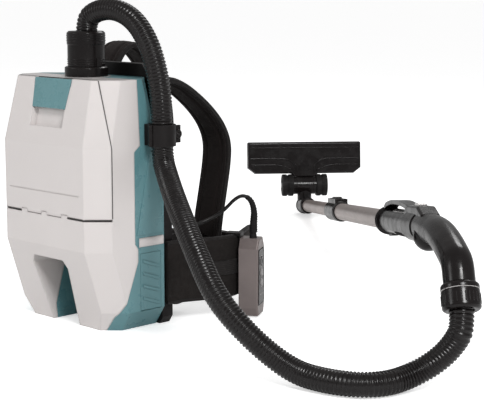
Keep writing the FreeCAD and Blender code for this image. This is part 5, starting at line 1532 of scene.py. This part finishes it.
    def lower_webbing(self, side: Side) -> None:
        """The webbing from a strap's adjuster back to the plate, with its loose tail.

        Args:
            side: which side.
        """
        x = side.value * self.strap_x
        a, b = [Vector((x, *pair)) for pair in self.strap_routes[side][-2:]]
        way = (b - a).normalized()
        start = b + way * 16.3
        points = [start, start + way * 22, *[(x, y, z) for y, z in self.tail_route]]
        self.band("strap_webbing_band_" + side.word, points, Vector((1, 0, 0)),
                  "strap_webbing_" + side.word)

    def belt_wing(self, side: Side) -> None:
        """One padded wing of the hip belt, with channels, bound edges and stitching.

        Args:
            side: which side.
        """
        plan = metres((side.value * x, y, self.belt_mid) for x, y in self.belt_plan)
        line = Line(spline_line(plan), Vector((0, 0, 1)))
        half = self.belt_tall / 2 - self.inset
        draft = Draft()
        Cushion(half, self.belt_thick / 2, self.belt_channels, quilt=0.5,
                seed=11.0 + side.value).draw(draft, line)
        wing = settle(draft.make("hip_belt_pad_" + side.word, BELT_FABRIC, 80.0), "unit",
                      "fabric_black", "hip_belt_" + side.word)
        self.binding("hip_belt_binding_" + side.word, line, middle=half - 2.0,
                     half_wide=0.0036)
        thread = Draft()
        rise = self.belt_thick / 2 * self.stitch_rise
        stitch_rows(thread, line, [(o, r) for o in self.belt_channels for r in (rise, -rise)],
                    pitch=5.0)
        settle(thread.make("hip_belt_stitching_" + side.word, THREAD), "unit", "fabric_black")
        self.belt_sleeve(side, line)

    def belt_sleeve(self, side: Side, line: Line) -> None:
        """The webbing sewn along a wing's outside, with keeper loops round it.

        Args:
            side: which side.
            line: the wing's middle line.
        """
        outward = -side.value
        lift = outward * (self.belt_thick / 2 + self.sleeve_lift)
        start, stop = self.sleeve_from * line.length, self.sleeve_to * line.length
        rows = []
        for i in range(self.sleeve_rows + 1):
            point, _, up, rise = line.at(start + (stop - start) * i / self.sleeve_rows)
            wave = self.sleeve_wave * math.sin(i * 0.9)
            rows.append([point + up * a * MM + rise * (lift + outward * (b + wave)) * MM
                         for a, b in self.sleeve])
        draft = Draft()
        draft.sheet(rows, True, (2.0, (stop - start) / self.weave_run), True)
        for share in self.loops:
            point, _, up, rise = line.at(share * line.length)
            loop = []
            for turn in range(self.loop_turns + 1):
                angle = FULL_TURN * turn / self.loop_turns
                a = powered(math.cos(angle), 0.35) * self.loop_half
                b = powered(math.sin(angle), 0.5) * self.loop_rise
                reach = lift + outward * (self.sleeve_lift + b)
                loop.append(point + up * a * MM + rise * reach * MM)
            draft.sweep(Line(loop), oval(0.0008, 0.0048, 12, 0.6), 0.003)
        settle(draft.make("hip_belt_sleeve_" + side.word, WEBBING, 70.0), "unit",
               "webbing_black")

    def belt_webbing(self, side: Side) -> None:
        """The webbing from a wing's end to the buckle.

        Args:
            side: which side.
        """
        sign = side.value
        a, b = [Vector((sign * x, y, self.belt_mid)) for x, y in self.belt_plan[-2:]]
        way = (b - a).normalized()
        points = [b, b + way * 16, *[(sign * x, y, self.belt_mid) for x, y in self.buckle_plan]]
        self.band("belt_webbing_band_" + side.word, points, Vector((0, 0, 1)),
                  "belt_webbing_" + side.word)

    def back_pad(self) -> None:
        """Six swollen panels on a bound base cloth."""
        cells = Draft()
        for low, high, wide in self.pad_rows:
            for left, right in ((-wide, -35.0), (-21.0, 21.0), (35.0, wide)):
                self.panel(cells, left, right, low, high)
        pad = cells.make("back_pad_panels", PAD_FABRIC, 80.0)
        puffed(pad, voxel=0.005, pressure=4.0, cap=0.004, keep=self.on_plate)
        settle(pad, "unit", "fabric_black", "back_pad")
        self.pad_base()
        self.pad_piping()

    def pad_base(self) -> None:
        """The base cloth that carries the panels."""
        base = Draft()
        rows = [metres((x * k, y, self.pad_middle + (z - self.pad_middle) * k)
                       for x, z in self.pad_ring)
                for k, y in ((1.0, 12.1), (1.0, 15.5), (0.985, 17.4), (0.95, 17.8))]
        base.sheet(rows, True, (8.0, 1.0), True)
        settle(base.make("back_pad_base", BELT_FABRIC, 50.0), "unit", "fabric_black")

    def pad_piping(self) -> None:
        """The piping round the base cloth."""
        closed = metres((x, 16.0, z) for x, z in self.pad_ring + self.pad_ring[:2])
        dense = []
        for a, b in zip(closed, closed[1:]):
            dense += [a.lerp(b, t / 6) for t in range(6)]
        piping = Draft()
        piping.sweep(Line(dense, Vector((0, 1, 0))), circle(0.0022, 10), 0.005)
        settle(piping.make("back_pad_piping", BINDING), "unit", "webbing_black")

    def panel(self, draft: Draft, left: float, right: float, low: float, high: float) -> None:
        """Add one pillow-shaped panel of the back pad.

        Args:
            draft: where it is drawn.
            left: its lower X in mm.
            right: its upper X in mm.
            low: its foot in mm.
            high: its top in mm.
        """
        middle_x, middle_z = (left + right) / 2, (low + high) / 2
        half_x, half_z = (right - left) / 2, (high - low) / 2
        outer_upper = middle_z > self.pad_middle and middle_x != 0
        taper = self.pillow_taper if outer_upper else 0.0
        rows = []
        for depth, share in self.pillow:
            row = []
            for a, b in oval(half_x, half_z, 60, 0.28):
                tall = powered(b / half_z, 0.35) * half_z if b else 0.0
                narrow = 1 - taper * max(0.0, tall / half_z)
                spot = (middle_x + a * share * narrow, depth, middle_z + tall * share)
                row.append(Vector(spot) * MM)
            rows.append(row)
        draft.sheet(rows, True, ends=True)

    @staticmethod
    def on_plate(point: Vector) -> Vector:
        """Hold a pad point between the plate and the pad's face."""
        return Vector((point.x, min(max(point.y, 12.2 * MM), 31.5 * MM), point.z))

    def plate_screws(self) -> None:
        """Screws of the back plate."""
        turn = Vector((0, 1, 0)).to_track_quat("Z", "Y").to_matrix().to_4x4()
        draft = Draft()
        for x, z in self.screw_places:
            spot = Vector((x, self.plate_face, z)) * MM
            star_screw(draft, Matrix.Translation(spot) @ turn, self.screw_radius)
        settle(draft.make("back_plate_screws", STEEL_PIN), "unit", "steel_pin")


@dataclass
class ControlUnit:
    """Control box on the belt: case, panel, keys, rings, mark, lamps and bead."""

    centre: Point = (182.0, 139.0, 2.0)
    turn: float = 30.0
    face: float = 17.1
    power_rise: float = 91.7
    ring_places: Section = ((91.7, 9.4), (72.05, 7.1), (55.02, 7.1))
    ring: Section = ((-0.7, -0.2), (-0.7, 0.35), (0.0, 0.55), (0.7, 0.35), (0.7, -0.2))
    mark_face: float = 15.8
    mark_radius: float = 4.4
    mark_wire: float = 0.0005
    lamp_rise: float = 36.0
    lamp_pitch: float = 6.4
    lamp: Section = ((1.5, -0.2), (1.5, 0.3), (1.0, 0.75), (0.4, 0.95))
    bead_face: float = 17.0
    bead: Section = ((-17.2, 60), (-17.2, 22), (-14, 19), (0, 19), (14, 19), (17.2, 22),
                     (17.2, 60), (17.2, 109), (14, 112.2), (0, 112.2), (-14, 112.2),
                     (-17.2, 109), (-17.2, 60))

    def place(self) -> Matrix:
        """The box's own frame, in metres."""
        spin = Matrix.Rotation(math.radians(self.turn), 4, "Z")
        return Matrix.Translation(Vector(self.centre) * MM) @ spin

    def on_panel(self, out: float, across: float, rise: float) -> Matrix:
        """A frame on the panel, with its Z out of the box; its place is given in mm."""
        spot = Matrix.Translation(Vector((out, across, rise)) * MM)
        return self.place() @ spot @ Matrix.Rotation(math.radians(90), 4, "Y")

    def build(self) -> None:
        """Dress the box and add its trim."""
        PAINT.dress(TAUPE_CASE, "control_box")
        PAINT.dress(PANEL_DARK, "control_panel")
        PAINT.dress(KEY_GREY, "button_boost", "button_eco")
        PAINT.dress(PANEL_DARK, "button_power")
        PAINT.dress(BLACK_GRAINED, "belt_hook")
        self.key_rings()
        self.power_mark()
        self.charge_lamps()
        self.panel_bead()

    def key_rings(self) -> None:
        """The pale ring round each key."""
        draft = Draft()
        for rise, radius in self.ring_places:
            draft.lathe([(radius + r, h) for r, h in self.ring],
                        self.on_panel(self.face, 0, rise), 40)
        settle(draft.make("panel_key_rings", KEY_GREY), "unit", "button_light")

    def power_mark(self) -> None:
        """The open ring and bar on the power key."""
        place = self.on_panel(self.mark_face, 0, self.power_rise)
        turns = [math.radians(degrees) for degrees in range(215, 505, 10)]
        arc = [place @ (Vector((self.mark_radius * math.cos(t), self.mark_radius * math.sin(t),
                                0.0)) * MM) for t in turns]
        draft = Draft()
        draft.sweep(Line(arc), circle(self.mark_wire, 8), 0.001)
        ends = [place @ (Vector((x, 0, 0)) * MM) for x in (-5.4, -0.6)]
        draft.rod(ends[0], ends[1], self.mark_wire, 8)
        settle(draft.make("power_key_mark", KEY_GREY), "button_power", "button_light")

    def charge_lamps(self) -> None:
        """A row of four small lamps."""
        draft = Draft()
        for index in range(4):
            across = (index - 1.5) * self.lamp_pitch
            draft.lathe(self.lamp, self.on_panel(self.face, across, self.lamp_rise), 16)
        settle(draft.make("charge_lamps", KEY_GREY), "unit", "button_light")

    def panel_bead(self) -> None:
        """The fine bead round the panel."""
        run = [self.place() @ (Vector((self.bead_face, y, z)) * MM) for y, z in self.bead]
        draft = Draft()
        draft.sweep(Line(run), circle(0.0006, 8), 0.002)
        settle(draft.make("panel_bead", PANEL_DARK), "unit", "panel_dark")


@dataclass
class Wand:
    """Tubes, lock, handle and hose cuff, in the wand's own frame."""

    foot: Point = (-478.3, 992.2, 20.9)
    turn: float = -WAND_DEGREES
    rise: float = 7.4
    mouth_stations: tuple[float, ...] = (1038.0, 1043.0, 1048.0)
    mouth_ring: Section = ((23.2, -1.1), (24.3, -0.8), (24.6, 0.0), (24.3, 0.8), (23.2, 1.1))
    plate_from: float = 1118.0
    plate_to: float = 1222.0
    plate_top: tuple[float, float] = (21.6, 21.9)
    plate_foot: tuple[float, float] = (20.2, 20.3)
    plate_end: float = 8.0
    rib_first: float = 1160.0
    rib_count: int = 7
    rib_pitch: float = 8.0
    rib_radius: float = 20.9
    tick_first: float = 452.0
    tick_count: int = 5
    tick_pitch: float = 4.0
    tick_rise: float = 25.9
    cuff_end: Point = (705.112, 16.323, 113.227)
    cuff_way: Point = (0.35505, -0.292785, -0.887815)
    cuff_ring_back: float = 29.2
    cuff_ring: Section = ((25.3, -1.1), (26.4, -0.9), (26.8, 0.0), (26.4, 0.9), (25.3, 1.1))
    flute_count: int = 28
    flute_radius: float = 26.7

    def place(self) -> Matrix:
        """The wand's frame, in metres: X up the tubes, Z away from the floor."""
        spin = (Matrix.Rotation(math.radians(self.turn), 4, "Z")
                @ Matrix.Rotation(-math.radians(self.rise), 4, "Y"))
        return Matrix.Translation(Vector(self.foot) * MM) @ spin

    def local(self, along: float, across: float, up: float) -> Vector:
        """A point of the wand's frame, given in mm."""
        return self.place() @ (Vector((along, across, up)) * MM)

    def build(self) -> None:
        """Dress the wand and add its grips, rings and plate."""
        PAINT.dress(TUBE_TAUPE, "inner_tube", "outer_tube")
        PAINT.dress(BLACK_GLOSS, "handle", "handle_cuff", "tube_lock", "elbow")
        PAINT.dress(BLACK_GRAINED, "lock_button", "release_lever")
        PAINT.dress(TRIM_SILVER, "suction_slider")
        self.mouth_rings()
        self.loop_plate()
        self.grip_ribs()
        self.cuff_trim()

    def mouth_rings(self) -> None:
        """Three rings round the handle's mouth."""
        along = self.place() @ Matrix.Rotation(math.radians(90), 4, "Y")
        draft = Draft()
        for start in self.mouth_stations:
            draft.lathe(self.mouth_ring, along @ Matrix.Translation((0, 0, start * MM)), 48)
        settle(draft.make("handle_mouth_rings", BLACK_GLOSS), "wand", "black_moulding")

    def arc(self, along: float, radius_y: float, radius_z: float,
            turns: Iterable[float]) -> list[Vector]:
        """Points round the wand's axis, from its top; radii in mm and turns in degrees."""
        return [self.local(along, radius_y * math.sin(math.radians(t)),
                           radius_z * math.cos(math.radians(t))) for t in turns]

    def loop_plate(self) -> None:
        """The bright plate that lies along the top of the handle's neck."""
        rows = []
        for s in np.linspace(self.plate_from, self.plate_to, 14):
            end = min(s - self.plate_from + 2, self.plate_to + 2 - s)
            share = 0.5 + 0.5 * min(1.0, end / self.plate_end)
            top, foot = self.plate_top, self.plate_foot
            rows.append(self.arc(s, top[0] * share, top[1], range(-32, 33, 8))
                        + self.arc(s, foot[0] * share, foot[1], range(32, -33, -8)))
        draft = Draft()
        draft.sheet(rows, True, ends=True)
        settle(draft.make("finger_loop_plate", TRIM_SILVER), "wand", "taupe_metal")

    def grip_ribs(self) -> None:
        """Finger ribs under the handle's neck and ticks on the tube lock."""
        ribs = Draft()
        for index in range(self.rib_count):
            station = self.rib_first + index * self.rib_pitch
            run = self.arc(station, self.rib_radius, -self.rib_radius, range(-48, 49, 8))
            ribs.sweep(Line(run), circle(0.0010, 8), 0.003)
        for index in range(self.tick_count):
            station = self.tick_first + index * self.tick_pitch
            run = [self.local(station, y, self.tick_rise) for y in (-9, -4, 0, 4, 9)]
            ribs.sweep(Line(run), circle(0.0007, 8), 0.003)
        settle(ribs.make("handle_finger_ribs", BLACK_GRAINED), "wand", "black_matt")

    def cuff_trim(self) -> None:
        """Bright ring and grip flutes round the swivel cuff at the hose's end."""
        end = Vector(self.cuff_end) * MM
        way = Vector(self.cuff_way).normalized()
        turn = way.to_track_quat("Z", "Y").to_matrix().to_4x4()
        ring = Draft()
        place = Matrix.Translation(end - way * self.cuff_ring_back * MM) @ turn
        ring.lathe(self.cuff_ring, place, 56)
        settle(ring.make("hose_cuff_bright_ring", TRIM_SILVER), "unit", "taupe_metal")
        flutes = Draft()
        for a, b in circle(1.0, self.flute_count):
            side = turn.to_3x3() @ Vector((a, b, 0))
            low, high = (end - way * back * MM + side * self.flute_radius * MM
                         for back in (8, 22))
            flutes.rod(low, high, 0.0009, 8)
        settle(flutes.make("handle_cuff_flutes", BLACK_GRAINED), "unit", "black_matt")


@dataclass
class FloorHead:
    """Floor head with contour ridges, wheels, sole plate and bristles."""

    wand: Wand
    face: float = 12.0
    low: float = 77.0
    high: float = 154.0
    axis: float = 49.0
    ridge_shapes: tuple[Point, ...] = ((22.0, 38.0, 134.0, 112.0, 1.9),
                                       (30.0, 52.0, 131.0, 97.0, 1.5))
    carrier: float = -22.8
    tuft_foot: float = -22.4
    tuft_tip: float = -27.8
    hair_radius: float = 0.00028
    rear_strip: float = 32.5
    front_strip: float = -7.5
    tuft_rows: tuple[float, ...] = (-1.1, 1.1)
    tuft_count: int = 62
    tuft_width: float = 254.0
    tuft_hairs: int = 4
    hub_out: float = 54.3
    hub_profile: Section = ((21.5, -0.4), (21.5, 0.5), (20.0, 0.9), (17.5, 0.3), (12.0, 0.2),
                            (10.5, 1.0), (8.6, 1.0), (8.2, 0.2))
    wheel_out: float = 41.3
    tread_radius: float = 25.75
    tread_count: int = 36

    def build(self) -> None:
        """Dress the head and add ridges, bristles and hubs."""
        PAINT.dress(BLACK_GLOSS, "head_body")
        PAINT.dress(SOFT_RUBBER, "wheel_left", "wheel_right")
        PAINT.dress(STEEL_PIN, "head_axle")
        PAINT.dress(BLACK_GRAINED, "sole_plate")
        self.ridges()
        self.bristles()
        for side in Side:
            self.hub(side)

    def ridges(self) -> None:
        """The ridges that flare from the neck out to both ends of the head."""
        draft = Draft()
        spot = self.wand.local
        for sign in (-1, 1):
            for neck, mid, reach, rise, radius in self.ridge_shapes:
                run = [spot(self.face, sign * y, z) for y, z in (
                    (neck, self.low + 3), (neck, self.low + 14), (neck + 4, rise - 10),
                    (mid, rise), (mid + 26, rise + 2), (reach - 20, rise + 2),
                    (reach, rise + 2))]
                draft.sweep(Line(spline_line(run)), circle(radius * MM, 10), 0.004)
        top = [spot(self.face + 0.2, y, self.high - 14) for y in (-133, -60, 0, 60, 133)]
        draft.sweep(Line(top), circle(0.0011, 10), 0.01)
        settle(draft.make("head_contour_ridges", BLACK_GLOSS), "floor_head", "black_moulding")

    def bristles(self) -> None:
        """Two carriers with rows of nylon tufts, in place of the plain strips."""
        random.seed(7)
        spot = self.wand.local
        for name, rise in (("rear", self.low + self.rear_strip),
                           ("front", self.high + self.front_strip)):
            draft = Draft()
            carrier = Line([spot(self.carrier, y, rise) for y in (-129.5, 0, 129.5)])
            draft.sweep(carrier, oval(0.0022, 0.0008, 12), 0.02)
            for row in self.tuft_rows:
                for index in range(self.tuft_count):
                    y = (-self.tuft_width / 2 + index * self.tuft_width / (self.tuft_count - 1)
                         + random.uniform(-0.3, 0.3))
                    for _ in range(self.tuft_hairs):
                        dy, dz = random.uniform(-0.9, 0.9), random.uniform(-0.6, 0.6)
                        base = spot(self.tuft_foot, y + dy * 0.5, rise + row + dz * 0.5)
                        tip = spot(self.tuft_tip + random.uniform(0, 0.5), y + dy * 1.5,
                                   rise + row + dz * 1.4)
                        draft.rod(base, tip, self.hair_radius, steps=5, thin=0.6)
            settle(draft.make("brush_tufts_" + name, BRISTLE), "floor_head", "brush_black",
                   "brush_strip_" + name)

    def hub(self, side: Side) -> None:
        """A dished hub cap and tread ribs on one wheel.

        Args:
            side: which wheel.
        """
        sign = side.value
        draft = Draft()
        base, centre = (
            self.wand.place() @ Matrix.Translation(Vector((0, sign * out, self.axis)) * MM)
            for out in (self.hub_out, self.wheel_out))
        cap = base @ Matrix.Rotation(math.radians(-90 * sign), 4, "X")
        draft.lathe(self.hub_profile, cap, 40)
        for a, b in circle(self.tread_radius, self.tread_count):
            for start in (-11.5, 3.5):
                ends = [centre @ (Vector((a, y, b)) * MM) for y in (start, start + 8)]
                draft.rod(ends[0], ends[1], 0.00075, 6)
        settle(draft.make("wheel_hub_" + side.word, SOFT_RUBBER), "wheel_" + side.word,
               "tyre_black")


@dataclass
class HoseClip:
    """Clip that holds the hose against the body's side."""

    knob_at: Point = (164.0, -11.3, 317.0)
    knob: Section = ((7.2, -0.3), (7.4, 0.6), (7.2, 3.0), (6.4, 3.8), (5.6, 3.8), (5.0, 3.0),
                     (3.4, 2.8), (2.9, 3.6), (2.0, 3.8))

    def build(self) -> None:
        """Dress the clip and add its knob."""
        PAINT.dress(BLACK_GRAINED, "hose_clip_base", "hose_clip_gate")
        outward = Matrix.Rotation(math.radians(90), 4, "Y")
        draft = Draft()
        draft.lathe(self.knob, Matrix.Translation(Vector(self.knob_at) * MM) @ outward, 40)
        settle(draft.make("clip_gate_knob", BLACK_GLOSS), "hose_clip_gate", "black_moulding")


def pair(corners: tuple[Vector, Vector]) -> list[list[float]]:
    """Two corners as plain lists of numbers."""
    return [[float(part) for part in corner] for corner in corners]


def main() -> None:
    """Build the sub-assemblies in order."""
    logging.basicConfig(level=logging.INFO, format="%(message)s")
    cad_box = pair(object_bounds())
    studio = Studio()
    studio.set_camera()
    SuctionHose().build()
    ControlCable().build()
    wand = Wand()
    for part in (BodyShell(), AirPath(), HoseClip(), Harness(), ControlUnit(), wand,
                 FloorHead(wand)):
        part.build()
    studio.lay_floor()
    studio.light()
    {"cad": cad_box, "visual": pair(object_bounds())}


if __name__ == "__main__":
    main()
